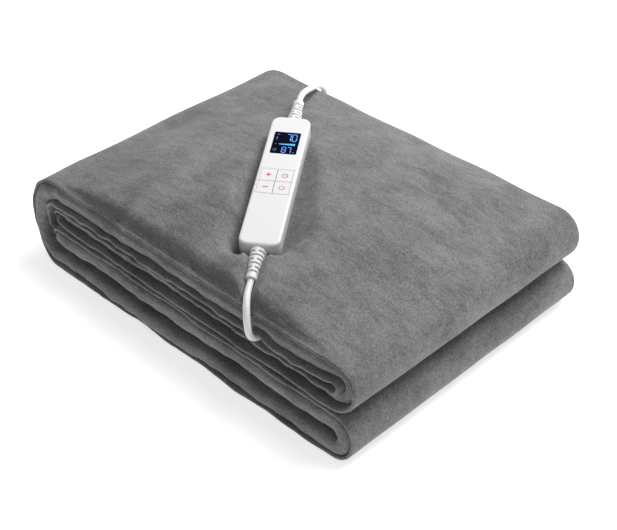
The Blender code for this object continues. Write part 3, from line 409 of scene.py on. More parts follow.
def add_light(name, place, size, power):
    """Square soft light that points at the middle of the floor under the pile."""
    data = bpy.data.lights.new(name, "AREA")
    data.energy = power
    data.size = size
    light = link(bpy.data.objects.new(name, data))
    light.location = place
    light.rotation_euler = Vector(place).to_track_quat("Z", "Y").to_euler()


FLOOR_GLOW = 0.56               # keeps the floor pale beside the pile and lights its front
FLOOR_REACH = 6.0
FLOOR_TONES = ((0.93, 0.93, 0.93), (0.95, 0.95, 0.95))
SKY_STRENGTH = 0.38
LIGHTS = (                      # name, place, size and power
    ("key_light", (0.40, 0.62, 1.6), 0.9, 19),
    ("back_light", (-0.05, 0.90, 0.80), 0.8, 8),
)


def add_floor():
    build = bmesh.new()
    bmesh.ops.create_grid(build, x_segments=8, y_segments=8, size=FLOOR_REACH)
    mesh = bpy.data.meshes.new("floor")
    build.to_mesh(mesh)
    build.free()
    floor = link(bpy.data.objects.new("floor", mesh))
    made, tree, shader = new_material("floor")
    cloud = noise_node(tree, object_coordinates(tree), 3, 2)
    tree.links.new(two_colours(tree, cloud, *FLOOR_TONES), shader.inputs["Base Color"])
    shader.inputs["Roughness"].default_value = 0.9
    shader.inputs["Specular IOR Level"].default_value = 0.1
    shader.inputs["Emission Color"].default_value = (1, 1, 1, 1)
    shader.inputs["Emission Strength"].default_value = FLOOR_GLOW
    floor.data.materials.append(made)


def add_surroundings():
    world = bpy.data.worlds.new("studio")
    world.use_nodes = True
    sky = world.node_tree.nodes["Background"]
    sky.inputs["Color"].default_value = (1, 1, 1, 1)
    sky.inputs["Strength"].default_value = SKY_STRENGTH
    bpy.context.scene.world = world
    bpy.context.scene.view_settings.view_transform = "Standard"
    for row in LIGHTS:
        add_light(*row)
    add_floor()


# ---------------------------------------------------------------- cords

def stepped(turns):
    """Whole turns passed, where each goes to the next within the last sixth of a turn."""
    whole = math.floor(turns)
    return whole + float(smoothstep(COIL_STEP_START, 1.0, turns - whole))


def coil_points():
    """Inward on the surface it lies on, up at the innermost turn, and outward on top."""
    turns_low = 3 + 5 / 6
    turns_up = 1 / 6
    turns_high = 3 + 1 / 3
    total = turns_low + turns_up + turns_high
    count = round(total * COIL_POINTS_PER_TURN)
    points = []
    for i in range(count + 1):
        passed = total * i / count
        left = total - passed
        if passed <= turns_low:
            radius = COIL_RADIUS - COIL_PITCH * stepped(passed)
        elif left >= turns_high:
            dip = math.sin(math.pi * (passed - turns_low) / turns_up)
            radius = COIL_RADIUS - 3 * COIL_PITCH - COIL_DRAW_IN * dip
        else:
            radius = COIL_RADIUS - COIL_PITCH * min(stepped(left), 3)
        rise = float(smoothstep(turns_low - COIL_RISE_SPARE,
                                turns_low + turns_up + COIL_RISE_SPARE, passed))
        angle = COIL_ENTRY - 2 * math.pi * passed
        points.append(Vector((COIL_CENTRE[0] + radius * math.cos(angle),
                              COIL_CENTRE[1] + radius * math.sin(angle),
                              COIL_LOW_Z + (COIL_HIGH_Z - COIL_LOW_Z) * rise)))
    return points


def coil_tangent(angle, height, side):
    """Place where the coil's tangent is clear of it, side -1 before it and +1 after it."""
    heading = Vector((math.sin(angle), -math.cos(angle), 0))
    touch = Vector((*COIL_CENTRE, height))
    touch += COIL_RADIUS * Vector((math.cos(angle), math.sin(angle), 0))
    outer = COIL_RADIUS + CORD_DIAMETER / 2
    clear = math.sqrt((outer + GAP) ** 2 - (outer - CORD_DIAMETER) ** 2)
    return touch + side * clear * heading, heading


def add_mains_cord():
    along = (case_point(0, 1, 0) - case_point(0, 0, 0)).normalized()
    start = case_point(0, RELIEF_END_REACH + GAP, SPLIT_HEIGHT)
    arrive, heading = coil_tangent(COIL_ENTRY, COIL_LOW_Z, -1)
    points = cord_points(start, along, MAINS_ROUTE, arrive, heading)
    points += coil_points()
    leave, heading = coil_tangent(COIL_EXIT, COIL_HIGH_Z, 1)
    end = Vector(PLUG_CORD_END)
    points += cord_points(leave, heading, TAIL_ROUTE, end, Vector((1, 0, 0)))
    cord = cord_object("mains_cord_sleeve", points, CORD_SLEEVE)
    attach(cord, "blanket")
    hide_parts("mains_cord", "mains_cord_coil", "mains_cord_tail")


def add_lead():
    along = (case_point(0, -1, 0) - case_point(0, 0, 0)).normalized()
    start = case_point(0, -RELIEF_END_REACH - GAP, SPLIT_HEIGHT)
    heading = Vector((-math.sin(LEAD_END_TURN), math.cos(LEAD_END_TURN), 0))
    points = cord_points(start, along, LEAD_ROUTE, Vector(LEAD_END), heading)
    lead = cord_object("blanket_lead_sleeve", points, CORD_SLEEVE)
    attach(lead, "blanket")
    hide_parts("blanket_lead")


# ---------------------------------------------------------------- fleece sheet

LAYERS = 4                      # in one bundle
LAYER_PITCH = 0.0053
LAYER_THICKNESS = 0.0047
FREE_END_UPPER = -0.174         # X of the flaps' ends inside the spine fold
FREE_END_LOWER = -0.177
RAGGED_END = 0.002              # how much the layers' free ends differ
RAGGED_REACH = 0.01
RAGGED_RATE = 520.0
TOP_STEP = 0.0039               # spacing of the points where the top shows
HIDDEN_STEP = 0.0070
INNER_STEP = 0.022              # along the layers that no side shows
FOLD_STEP = 0.0032
SPINE_STEPS = 34
SPINE_FINE_STEPS = 400          # of the curve that the spine's points are spaced along
ARC_STEPS = 8                   # in a fold between two layers
FLOOR_CLEARANCE = 0.0003
RIM_ANGLES = (math.pi / 4, 0.0, -math.pi / 4)       # of the points round the sheet's edge
RIM_POINTS = len(RIM_ANGLES)
NOSE_LENGTH = 0.011             # the layers draw together in a round nose at a free end
NOSE_LEAST = 0.3
NOSE_STEPS = (0.0, 0.0012, 0.0030, 0.0055, 0.0085)


def nose(left):
    """Share of its full height that the bundle has at this distance from its free end."""
    share = 1 - min(left / NOSE_LENGTH, 1)
    return max(NOSE_LEAST, math.sqrt(1 - share ** 2))


def straight(start_x, end_x, height, spacing):
    """Level stretch of the fold path, with both its end points."""
    steps = max(2, round(abs(end_x - start_x) / spacing))
    return [(start_x + (end_x - start_x) * i / steps, height) for i in range(steps + 1)]


def turn_up(centre_x, low_z, high_z):
    """Half turn round the +X side, without its two end points."""
    radius = (high_z - low_z) / 2
    steps = round(math.pi * radius / FOLD_STEP)
    angles = [-math.pi / 2 + math.pi * i / steps for i in range(1, steps)]
    return [(centre_x + radius * math.cos(a), low_z + radius + radius * math.sin(a)) for a in angles]


def spine_points():
    """Evenly spaced points down the full, rounded spine fold, without its two ends."""
    middle = (TOP_Z + BOTTOM_Z) / 2
    half = (TOP_Z - BOTTOM_Z) / 2
    power = 2 / SPINE_FULLNESS
    fine = []
    for i in range(SPINE_FINE_STEPS + 1):
        angle = math.pi / 2 + math.pi * i / SPINE_FINE_STEPS
        across = -abs(math.cos(angle)) ** power
        along = math.copysign(abs(math.sin(angle)) ** power, math.sin(angle))
        fine.append((SPINE_X + SPINE_DEPTH * across, middle + half * along))
    fine = np.array(fine)
    passed = np.concatenate([[0], np.cumsum(np.hypot(*np.diff(fine, axis=0).T))])
    wanted = np.linspace(0, passed[-1], SPINE_STEPS + 1)[1:-1]
    return [(float(x), float(z)) for x, z in zip(np.interp(wanted, passed, fine[:, 0]),
                                                  np.interp(wanted, passed, fine[:, 1]))]


def fold_path():
    """The bundle's centre line in X and Z, and the number of its corner where each stretch ends."""
    inner_start = FREE_END_UPPER + NOSE_LENGTH
    inner_end = FREE_END_LOWER + NOSE_LENGTH
    stretches = (
        [(FREE_END_UPPER + step, UPPER_FLAP_Z) for step in NOSE_STEPS]
        + straight(inner_start, UPPER_FOLD_X, UPPER_FLAP_Z, HIDDEN_STEP),
        turn_up(UPPER_FOLD_X, UPPER_FLAP_Z, TOP_Z),
        straight(UPPER_FOLD_X, SPINE_X, TOP_Z, TOP_STEP),
        spine_points(),
        straight(SPINE_X, LOWER_FOLD_X, BOTTOM_Z, HIDDEN_STEP),
        turn_up(LOWER_FOLD_X, BOTTOM_Z, LOWER_FLAP_Z),
        straight(LOWER_FOLD_X, inner_end, LOWER_FLAP_Z, HIDDEN_STEP)
        + [(FREE_END_LOWER + step, LOWER_FLAP_Z) for step in reversed(NOSE_STEPS)],
    )
    points = []
    marks = []
    for stretch in stretches:
        points += stretch
        marks.append(len(points) - 1)
    return np.array(points), marks


def path_normals(path):
    """Unit normals on the pile's outer side of the path, which always turns left."""
    before = np.vstack([path[:1], path[:-1]])
    after = np.vstack([path[1:], path[-1:]])
    along = after - before
    along /= np.hypot(along[:, 0], along[:, 1])[:, None]
    return np.column_stack([along[:, 1], -along[:, 0]])


# Where each of the four layers lies at the front edge, outermost first: distance from the
# bundle's middle toward its outer side, thickness, and how far forward of the pile's face.
FRONT_TOP = ((0.0080, 0.0026, 0.0042), (0.0044, 0.0042, 0.0010),
             (-0.0106, 0.0042, 0.0010), (-0.0146, 0.0034, 0.0042))
FRONT_UPPER_FLAP = ((0.0080, 0.0030, 0.0040), (0.0040, 0.0042, -0.0040),
                    (-0.0044, 0.0042, -0.0040), (-0.0080, 0.0032, 0.0042))
FRONT_LOWER_FLAP = ((0.0084, 0.0030, 0.0046), (0.0046, 0.0042, 0.0060),
                    (-0.0050, 0.0042, 0.0060), (-0.0088, 0.0028, -0.0040))
FRONT_BOTTOM = ((0.0088, 0.0026, 0.0090), (0.0048, 0.0042, 0.0080),
                (-0.0040, 0.0042, 0.0080), (-0.0084, 0.0028, -0.0030))
FOLD_DELAY = 0.036              # the tight upper fold keeps the flap's closer spacing this far
SPINE_TUCK = 0.6                # share of the outer hem's overhang that is lost at the spine
SPINE_TUCK_START = 0.3          # share of the spine's half length that is tucked fully
FOLD_DEPTH = 0.0046             # how far a front fold bulges at most
FOLD_FLATNESS = 0.5             # under 1 flattens a front fold's face
PILLOW = 0.0105                 # height of the rolled shoulder above its hem
PILLOW_REACH = 0.011
PILLOW_FADE = (-0.05, 0.09)     # the lift fades out between these places on Y
LEAD_WAY_X = 0.100              # where the hem gives way to the lead
LEAD_WAY_WIDTH = 0.015
LEAD_WAY_RISE = (0.0, 0.0015, 0.0048, 0.0070)   # by layer
EDGE_RIPPLE = (0.0003, 0.0008, 0.0010)          # of the outer hem, the fold and the inner hem
FRONT_HOLD = 0.006              # the layers keep this shape fully this far in
FRONT_REACH = 0.045             # and in part this far in
BACK_INSET = 0.0030             # of the layers' back edges behind the pile's face


def front_profile(path, marks):
    """The front tables blended along the fold path, (stations, 4, 3), and the path's length."""
    tables = [np.array(t) for t in (FRONT_UPPER_FLAP, FRONT_TOP, FRONT_BOTTOM, FRONT_LOWER_FLAP)]
    lengths = np.concatenate([[0], np.cumsum(np.hypot(*np.diff(path, axis=0).T))])
    turns = ((marks[0], marks[1], FOLD_DELAY), (marks[2], marks[3], 0.0), (marks[4], marks[5], 0.0))
    profile = np.repeat(tables[0][None], len(path), axis=0)
    for (start, end, delay), table in zip(turns, tables[1:]):
        share = smoothstep(lengths[start] + delay / 2, lengths[end] + delay, lengths)[:, None, None]
        profile = profile * (1 - share) + table[None] * share
    spine_middle = (lengths[marks[2]] + lengths[marks[3]]) / 2
    spine_reach = (lengths[marks[3]] - lengths[marks[2]]) / 2
    tucked = 1 - smoothstep(SPINE_TUCK_START, 1.0, np.abs(lengths - spine_middle) / spine_reach)
    profile[:, 0, 2] *= 1 - SPINE_TUCK * tucked
    return profile, lengths


NEAR_OUTER = (0.0, 0.003, 0.0055, 0.0068, 0.008, 0.0095, 0.0115, 0.014, 0.018, 0.023, 0.030)
NEAR_INNER = (0.0, 0.005, 0.012, 0.021, 0.030)
FAR_OUTER = (0.022, 0.014, 0.008, 0.004, 0.0)
FAR_INNER = (0.016, 0.006, 0.0)
MIDDLE_FROM = 0.038             # the even stretch starts this far from the front edge
MIDDLE_TO = 0.030               # and ends this far from the back edge
WAVE_OCTAVES = 5
WAVE_GROWTH = 0.55              # of the rate from one octave to the next
WAVE_REACH = 2.6                # the octaves' sum is mostly within this


def layer_stations(near, spacing, far):
    """Shares from the front (0) to the back (1) edge of a layer, closer near both ends."""
    count = max(2, round((PILE_WIDTH - MIDDLE_FROM - MIDDLE_TO) / spacing))
    inner = np.linspace(MIDDLE_FROM, PILE_WIDTH - MIDDLE_TO, count)
    return np.array([*near, *inner, *(PILE_WIDTH - d for d in far)]) / PILE_WIDTH


OUTER_STATIONS = layer_stations(NEAR_OUTER, TOP_STEP, FAR_OUTER)
INNER_STATIONS = layer_stations(NEAR_INNER, INNER_STEP, FAR_INNER)


def wave(x, y, seed, rate):
    """Smooth repeatable unevenness between about -1 and 1."""
    rng = np.random.default_rng(seed)
    total = 0.0
    for octave in range(WAVE_OCTAVES):
        frequency = rate * (1.0 + WAVE_GROWTH * octave)
        angle = rng.uniform(0, 2 * math.pi)
        phase = rng.uniform(0, 2 * math.pi)
        total = total + np.sin(frequency * (x * math.cos(angle) + y * math.sin(angle)) + phase)
    return total / WAVE_REACH


# Kinds of unevenness: first seed, size, and rate in radians per metre
LAYER_WAVE = (11, 0.0005, 38.0)
LAYER_RIPPLE = (21, 0.0004, 150.0)
FRONT_WAVE = (31, 0.0013, 26.0)
FRONT_RIPPLE = (41, 1.0, 130.0)     # EDGE_RIPPLE gives its size
BACK_WAVE = (51, 0.0018, 24.0)
TOP_WAVE = (5, 0.0011, 30.0)
SHARED_WAVE = (7, 0.0006, 28.0)
SHARED_WAVE_SHIFT = 0.2         # along Y


def unevenness(x, y, kind, number=0):
    """Smooth unevenness of one kind; each number has its own."""
    seed, size, rate = kind
    return size * wave(x, y, seed + number, rate)


def section(rows, length, give_way, height):
    """Centre line (y, w) and thickness of the whole folded sheet at one path station."""
    half = PILE_WIDTH / 2
    base = [LAYER_PITCH * (1.5 - layer) for layer in range(LAYERS)]
    offsets = [row[0] + unevenness(length, 0.0, LAYER_WAVE, layer)
               + unevenness(length, 0.0, LAYER_RIPPLE, layer) + give_way * rise
               for layer, (row, rise) in enumerate(zip(rows, LEAD_WAY_RISE))]
    points = []
    for layer in range(LAYERS):
        shares = OUTER_STATIONS if layer == 0 else INNER_STATIONS
        thickness, forward = rows[layer][1:]
        edge = (layer + 1) // 2
        y_front = -half - forward + unevenness(length, 0.0, FRONT_WAVE, edge)
        y_front += EDGE_RIPPLE[edge] * unevenness(length, 0.0, FRONT_RIPPLE, edge)
        if layer in (1, 2):
            y_front += fold_depth(offsets[1], offsets[2])
        y_back = half - BACK_INSET + unevenness(length, 0.0, BACK_WAVE, layer // 2)
        y = y_front + (y_back - y_front) * shares
        front = 1 - smoothstep(FRONT_HOLD, FRONT_REACH, y - y_front)
        w = base[layer] + (offsets[layer] - base[layer]) * front
        t = LAYER_THICKNESS + (thickness - LAYER_THICKNESS) * front
        points.append((y, w * height, t * height))
    return points


def build_sheet():
    """The fold path, its normals and lengths, and the sheet's outline at each of its stations."""
    path, marks = fold_path()
    normals = path_normals(path)
    profile, lengths = front_profile(path, marks)
    rings = []
    for station, (x, z) in enumerate(path):
        give_way = math.exp(-((x - LEAD_WAY_X) / LEAD_WAY_WIDTH) ** 2) if z >= TOP_Z - GAP else 0.0
        left = min(lengths[station], lengths[-1] - lengths[station])
        layers = section(profile[station], lengths[station], give_way, nose(left))
        rings.append(section_loop(layers))
    return path, normals, lengths, np.array(rings)


def arc(start, end, side, steps):
    """Points of a half turn in (y, w, t) from start to end, bulging to side * Y."""
    (y0, w0, t0), (y1, w1, t1) = start, end
    depth = fold_depth(w0, w1)
    flatness = FOLD_FLATNESS if side < 0 else 1.0
    made = []
    for i in range(1, steps):
        angle = math.pi * i / steps
        share = (1 - math.cos(angle)) / 2
        made.append((y0 + (y1 - y0) * share + side * depth * math.sin(angle) ** flatness,
                     w0 + (w1 - w0) * share, t0 + (t1 - t0) * share))
    return made


def fold_depth(w0, w1):
    """How far the fold between two layers bulges."""
    return min(abs(w0 - w1) / 2, FOLD_DEPTH)


def section_loop(layers):
    """Closed outline (y, w) of the folded sheet: one face, a round rim, the other face, a rim."""
    line = []
    for layer, (y, w, t) in enumerate(layers):
        y = y.copy()
        toward_back = layer % 2 == 0
        order = slice(None) if toward_back else slice(None, None, -1)
        row = [tuple(p) for p in np.column_stack([y, w, t])[order]]
        if layer:
            side = -1 if toward_back else 1
            line += arc(line[-1], row[0], side, ARC_STEPS)
        line += row
    line = np.array(line)
    along = np.gradient(line[:, :2], axis=0)
    along /= np.maximum(np.hypot(along[:, 0], along[:, 1]), 1e-9)[:, None]
    normal = np.column_stack([-along[:, 1], along[:, 0]])
    half = line[:, 2:3] / 2
    outer = line[:, :2] + normal * half
    inner = line[:, :2] - normal * half
    first_rim = rim(line[0], -along[0], normal[0])
    last_rim = rim(line[-1], along[-1], normal[-1])
    return np.vstack([outer, last_rim, inner[::-1], first_rim[::-1]])


def rim(point, outward, normal):
    """Points that round the sheet's edge, from its outer face to its inner face."""
    radius = point[2] / 2
    made = []
    for angle in RIM_ANGLES:
        made.append(point[:2] + radius * (outward * math.cos(angle) + normal * math.sin(angle)))
    return np.array(made)


def crown(x, y, z):
    """Lift of the top bundle over the connector, as in the CAD part."""
    middle = (SPINE_X + UPPER_FOLD_X) / 2
    across = (x - middle) / ((UPPER_FOLD_X - SPINE_X) / 2)
    along = y / (PILE_WIDTH / 2)
    lift = CROWN_HEIGHT * (1 - across ** 2) * (1 - along ** 2) * (1 + CROWN_LEAN * along)
    inside = (np.abs(across) < 1) & (np.abs(along) < 1) & (z >= BUNDLE_TOP_LIMIT)
    return np.where(inside, lift, 0.0)


def pillow(x, y):
    """Extra lift of the outermost layer, which falls off in a round shoulder to its hem."""
    across = (x - (SPINE_X + UPPER_FOLD_X) / 2) / ((UPPER_FOLD_X - SPINE_X) / 2)
    inward = np.clip((y + PILE_WIDTH / 2) / PILLOW_REACH, 0, 1)
    shoulder = np.sqrt(np.clip(1 - (1 - inward) ** 2, 0, 1))
    fade = 1 - smoothstep(*PILLOW_FADE, y)
    return PILLOW * shoulder * fade * np.clip(1 - across ** 4, 0, 1)


SIDE_BANK = 0.8                 # slope of the fleece beside the controller
END_BANK = 2.2                  # and at its near end, where it stands up against the case
END_BANK_REACH = 0.012
BANK_TOE = 0.002                # the slope starts this far from the piece's lowest line
CASE_CLEARANCE = 0.0006


def bank(distance, slope):
    """Height of the fleece above the lowest line of a piece pressed into it."""
    return slope * np.maximum(distance - BANK_TOE, 0)


def case_limit(x, y):
    """Highest the fleece may be round the controller's case."""
    axes = np.array(CASE_MATRIX.to_3x3())
    along_axis = axes[:2, 1] / np.hypot(*axes[:2, 1])
    across_axis = np.array([along_axis[1], -along_axis[0]])
    across = across_axis[0] * (x - CASE_PLACE[0]) + across_axis[1] * (y - CASE_PLACE[1])
    along = along_axis[0] * (x - CASE_PLACE[0]) + along_axis[1] * (y - CASE_PLACE[1])
    near_across = np.clip(across, -CASE_WIDTH / 2, CASE_WIDTH / 2)
    near_along = np.clip(along, -CASE_LENGTH / 2, CASE_LENGTH / 2)
    away_x = across_axis[0] * near_across + along_axis[0] * near_along
    away_y = across_axis[1] * near_across + along_axis[1] * near_along
    underside = CASE_PLACE[2] - (axes[0, 2] * away_x + axes[1, 2] * away_y) / axes[2, 2]
    distance = np.hypot(across - near_across, along - near_along)
    at_end = smoothstep(CASE_LENGTH / 2 - END_BANK_REACH, CASE_LENGTH / 2, -along)
    slope = SIDE_BANK + (END_BANK - SIDE_BANK) * at_end
    return underside - CASE_CLEARANCE + bank(distance, slope)


def round_limit(x, y, start, end, start_radius, end_radius):
    """Highest the fleece may be round a straight stretch of a relief or a cord."""
    run = end - start
    share = ((x - start.x) * run.x + (y - start.y) * run.y) / (run.x ** 2 + run.y ** 2)
    share = np.clip(share, 0, 1)
    distance = np.hypot(x - start.x - run.x * share, y - start.y - run.y * share)
    radius = start_radius + (end_radius - start_radius) * share
    return start.z + run.z * share - radius - CASE_CLEARANCE + bank(distance, END_BANK)


def press_height(x, y):
    """Highest the top of the fleece may be where the controller and its lead lie on it."""
    root = case_point(0, -CASE_LENGTH / 2, SPLIT_HEIGHT)
    tip = case_point(0, -RELIEF_END_REACH, SPLIT_HEIGHT)
    limit = np.minimum(case_limit(x, y),
                       round_limit(x, y, root, tip, RELIEF_ROOT_RADIUS, RELIEF_END_RADIUS))
    line = [tip] + [Vector(point) for point in LEAD_ROUTE[:3]]
    for start, end in zip(line, line[1:]):
        limit = np.minimum(limit, round_limit(x, y, start, end, CORD_DIAMETER / 2, CORD_DIAMETER / 2))
    return limit


def soft_minimum(a, b, width):
    """The lower of both, with a rounded passage where they differ by less than width."""
    share = np.clip(0.5 + 0.5 * (b - a) / width, 0, 1)
    return b * (1 - share) + a * share - width * share * (1 - share)


def outer_layer(count):
    """1 for the points of a station's outline that belong to the outermost layer, else 0."""
    belongs = np.zeros(count)
    belongs[:len(OUTER_STATIONS)] = 1
    belongs[-len(OUTER_STATIONS) - RIM_POINTS:] = 1
    return belongs


BUNDLE_TOP_EASE = 0.004
PRESS_SOFTNESS = 0.003
FLOOR_SOFTNESS = 0.002


def place_sheet():
    """World places of all points, as an array (stations, outline, 3)."""
    path, normals, lengths, rings = build_sheet()
    y = rings[:, :, 0]
    w = rings[:, :, 1]
    base_x = path[:, 0][:, None]
    base_z = path[:, 1][:, None]
    left = np.minimum(lengths, lengths[-1] - lengths)[:, None]
    base_x = base_x + RAGGED_END * np.exp(-left / RAGGED_REACH) * np.sin(RAGGED_RATE * w + 1.0)
    x = base_x + normals[:, 0][:, None] * w
    z = base_z + normals[:, 1][:, None] * w
    on_top = smoothstep(BUNDLE_TOP_LIMIT - BUNDLE_TOP_EASE,
                        BUNDLE_TOP_LIMIT + BUNDLE_TOP_EASE, base_z)
    lift = crown(base_x + 0 * y, y, base_z + 0 * y)
    lift = lift + pillow(base_x + 0 * y, y) * on_top * outer_layer(rings.shape[1])
    inside = np.clip(1 - (np.abs(y) / (PILE_WIDTH / 2)) ** 6, 0, 1)
    uneven = unevenness(x, y, TOP_WAVE) * on_top * inside
    top = TOP_Z + BUNDLE / 2 + lift + uneven
    pressed = soft_minimum(top, press_height(x, y), PRESS_SOFTNESS)
    shift = np.where(on_top > 0, (pressed - top) * on_top, 0.0)
    shared = unevenness(x, y + SHARED_WAVE_SHIFT, SHARED_WAVE) * (1 - on_top) * inside
    z = z + lift + uneven + shift + shared
    z = -soft_minimum(-z, np.full(z.shape, -FLOOR_CLEARANCE), FLOOR_SOFTNESS)
    return np.stack([x, y, z], axis=2)


def sheet_faces(stations, count):
    """Quads between neighbouring stations, and the strips that close both free ends."""
    faces = []
    for row in range(stations - 1):
        low = row * count
        high = low + count
        for i in range(count):
            j = (i + 1) % count
            faces.append((low + i, low + j, high + j, high + i))
    half = count // 2 - RIM_POINTS
    for row, flip in ((0, True), (stations - 1, False)):
        loop = list(range(row * count, (row + 1) * count))
        outer = loop[:half]
        last = loop[half:half + RIM_POINTS]
        inner = loop[half + RIM_POINTS:2 * half + RIM_POINTS][::-1]
        first = loop[2 * half + RIM_POINTS:][::-1]
        cap = [(outer[i], outer[i + 1], inner[i + 1], inner[i]) for i in range(half - 1)]
        cap.append((outer[-1], *last, inner[-1]))
        cap.append((outer[0], inner[0], *reversed(first)))
        faces += [tuple(reversed(face)) for face in cap] if flip else cap
    return faces


def add_fleece():
    places = round_off_ends(place_sheet())
    stations, count, _ = places.shape
    mesh = bpy.data.meshes.new("fleece_blanket")
    mesh.from_pydata([tuple(v) for v in places.reshape(-1, 3)], [], sheet_faces(stations, count))
    mesh.update()
    mesh.shade_smooth()
    build = bmesh.new()
    build.from_mesh(mesh)
    bmesh.ops.recalc_face_normals(build, faces=build.faces)
    build.to_mesh(mesh)
    build.free()
    blanket = link(bpy.data.objects.new("fleece_blanket", mesh))
    blanket.data.materials.append(FLEECE)
    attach(blanket, "blanket")
    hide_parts("fleece_outer_ply", "fleece_inner_ply", "upper_hem_binding",
                "lower_hem_binding")


END_ANGLES = (30, 60, 80)       # degrees round the free end's edge, one extra station each
RIM_SHARE = 0.3                 # of the rim's size that is left at the very end


def round_off_ends(places):
    """Extra stations at both free ends that close the sheet's thickness with a round edge."""
    count = places.shape[1]
    half = count // 2 - RIM_POINTS
    outer = np.arange(half)
    inner = np.arange(half + RIM_POINTS, 2 * half + RIM_POINTS)[::-1]
    last = slice(half, half + RIM_POINTS)
    first = slice(2 * half + RIM_POINTS, None)
    rows = [places]
    for row, inward, before in ((0, 1, True), (-1, -2, False)):
        ring = places[row]
        middle = ring.copy()
        centre = (ring[outer] + ring[inner]) / 2
        middle[outer] = centre
        middle[inner] = centre
        middle[last] = centre[-1] + (ring[last] - centre[-1]) * RIM_SHARE
        middle[first] = centre[0] + (ring[first] - centre[0]) * RIM_SHARE
        outward = places[row] - places[inward]
        outward /= np.linalg.norm(outward, axis=1)[:, None]
        made = []
        for angle in END_ANGLES:
            share = 1 - math.cos(math.radians(angle))
            reach = LAYER_THICKNESS / 2 * math.sin(math.radians(angle))
            made.append((ring * (1 - share) + middle * share + outward * reach)[None])
        rows = made[::-1] + rows if before else rows + made
    return np.vstack(rows)


# ---------------------------------------------------------------- controller finish

NODE_LOOKS = (                  # by how the node's name starts
    (WHITE_PLASTIC, ("controller_top_shell", "key_", "plug_body")),
    (PALE_PLASTIC, ("controller_bottom_shell", "switch_plunger", "connector_plug",
                    "connector_socket")),
    (RELIEF_PLASTIC, ("mains_strain", "lead_strain", "plug_strain", "connector_strain")),
    (DARK_WINDOW, ("display_window",)),
    (DARK_PANEL, ("display_panel",)),
    (LIGHT_GUIDE, ("display_light_guide",)),
    (BLACK_PLASTIC, ("switch_body", "heater_triac", "smoothing_capacitor")),
    (BLUE_PLASTIC, ("power_relay",)),
    (GREEN_PLASTIC, ("terminal_block",)),
    (BOARD, ("circuit_board",)),
    (CERAMIC, ("mains_fuse",)),
    (STEEL, ("case_screw", "overheat_thermostat")),
    (NICKEL, ("connector_contact", "plug_pin")),
    (WIRE_SLEEVE, ("mains_inner_lead", "heater_inner_lead", "heating_wire")),
    (CORD_SLEEVE, ("mains_cord", "blanket_lead")),
    (FLEECE, ("fleece_", "upper_hem", "lower_hem")),
)


def add_looks():
    """Give every CAD node its procedural material."""
    for name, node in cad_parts.items():
        look = next(look for look, starts in NODE_LOOKS if name.startswith(starts))
        materials = node.data.materials
        if not len(materials):
            materials.append(look)
        for i in range(len(materials)):
            materials[i] = look


WINDOW_CENTRE = 0.0485
PRINT_HEIGHT = CASE_HEIGHT + 0.00001
PRINT_THICKNESS = 0.00006
SEGMENTS = {                    # end points in a digit's frame, one unit wide and two high
    "a": ((0, 2), (1, 2)), "b": ((1, 2), (1, 1)), "c": ((1, 1), (1, 0)), "d": ((0, 0), (1, 0)),
    "e": ((0, 0), (0, 1)), "f": ((0, 1), (0, 2)), "g": ((0, 1), (1, 1)),
}
DIGITS = {"7": "abc", "0": "abcdef", "8": "abcdefg"}
STROKE_INSET = 0.6              # in stroke widths, at both ends of a digit's stroke
KEY_CENTRES = {"plus": (-0.0073, 0.0026), "minus": (-0.0073, -0.0140),
               "timer": (0.0073, 0.0026), "power": (0.0073, -0.0140)}
KEY_RINGS = {                   # radius, width, and start and end angle
    "timer": ((0.0026, 0.0007, 0.0, 2 * math.pi),),
    "power": ((0.0024, 0.0007, math.radians(125), math.radians(415)),),
}
KEY_STROKES = {                 # start and end from the key's middle, and width
    "plus": (((-0.0025, 0.0), (0.0025, 0.0), 0.0011), ((0.0, 0.00055), (0.0, 0.0025), 0.0011),
             ((0.0, -0.0025), (0.0, -0.00055), 0.0011)),
    "minus": (((-0.0025, 0.0), (0.0025, 0.0), 0.0011),),
    "timer": (((-0.00025, 0.0), (-0.00025, 0.0016), 0.0005), ((0.0, 0.0), (0.0013, 0.0), 0.0005)),
    "power": (((0.0, 0.0007), (0.0, 0.0032), 0.0007),),
}
DISPLAY_DIGITS = (              # digits, left, low, width, height, gap and width of stroke
    ("70", -0.0002, 0.0030, 0.0039, 0.0098, 0.0014, 0.00065),
    ("87", -0.0018, -0.0138, 0.0034, 0.0076, 0.0013, 0.00065),
)
DISPLAY_MARKS = (               # start and end from the window's middle, and width
    ((-0.0094, 0.0120), (-0.0070, 0.0120), 0.0007),
    ((-0.0088, 0.0042), (-0.0088, 0.0084), 0.0008),
    ((-0.0092, -0.0020), (-0.0080, -0.0020), 0.0006),
    ((0.0094, 0.0062), (0.0104, 0.0062), 0.0008),
    ((0.0082, -0.0130), (0.0098, -0.0130), 0.0007),
)
DISPLAY_RING = (-0.0083, -0.0104, 0.0014, 0.0005)       # from the window's middle, radius, width
BAR_BLOCKS = 12
BAR_LEFT = -0.0058
BAR_Y = -0.0020
BAR_PITCH = 0.00125
BAR_BLOCK = 0.0010
BAR_FIRST_WIDTH = 0.0009
BAR_LAST_WIDTH = 0.0028


def stroke(build, start, end, width):
    """Thin flat bar on the controller's face between two points of its frame."""
    a = Vector((*start, 0))
    b = Vector((*end, 0))
    along = (b - a).normalized()
    side = Vector((-along.y, along.x, 0)) * width / 2
    corners = [a - side, b - side, b + side, a + side]
    low = [build.verts.new(corner + Vector((0, 0, PRINT_HEIGHT))) for corner in corners]
    high = [build.verts.new(corner + Vector((0, 0, PRINT_HEIGHT + PRINT_THICKNESS)))
            for corner in corners]
    build.faces.new(list(reversed(low)))
    build.faces.new(high)
    for i in range(4):
        j = (i + 1) % 4
        build.faces.new((low[i], low[j], high[j], high[i]))


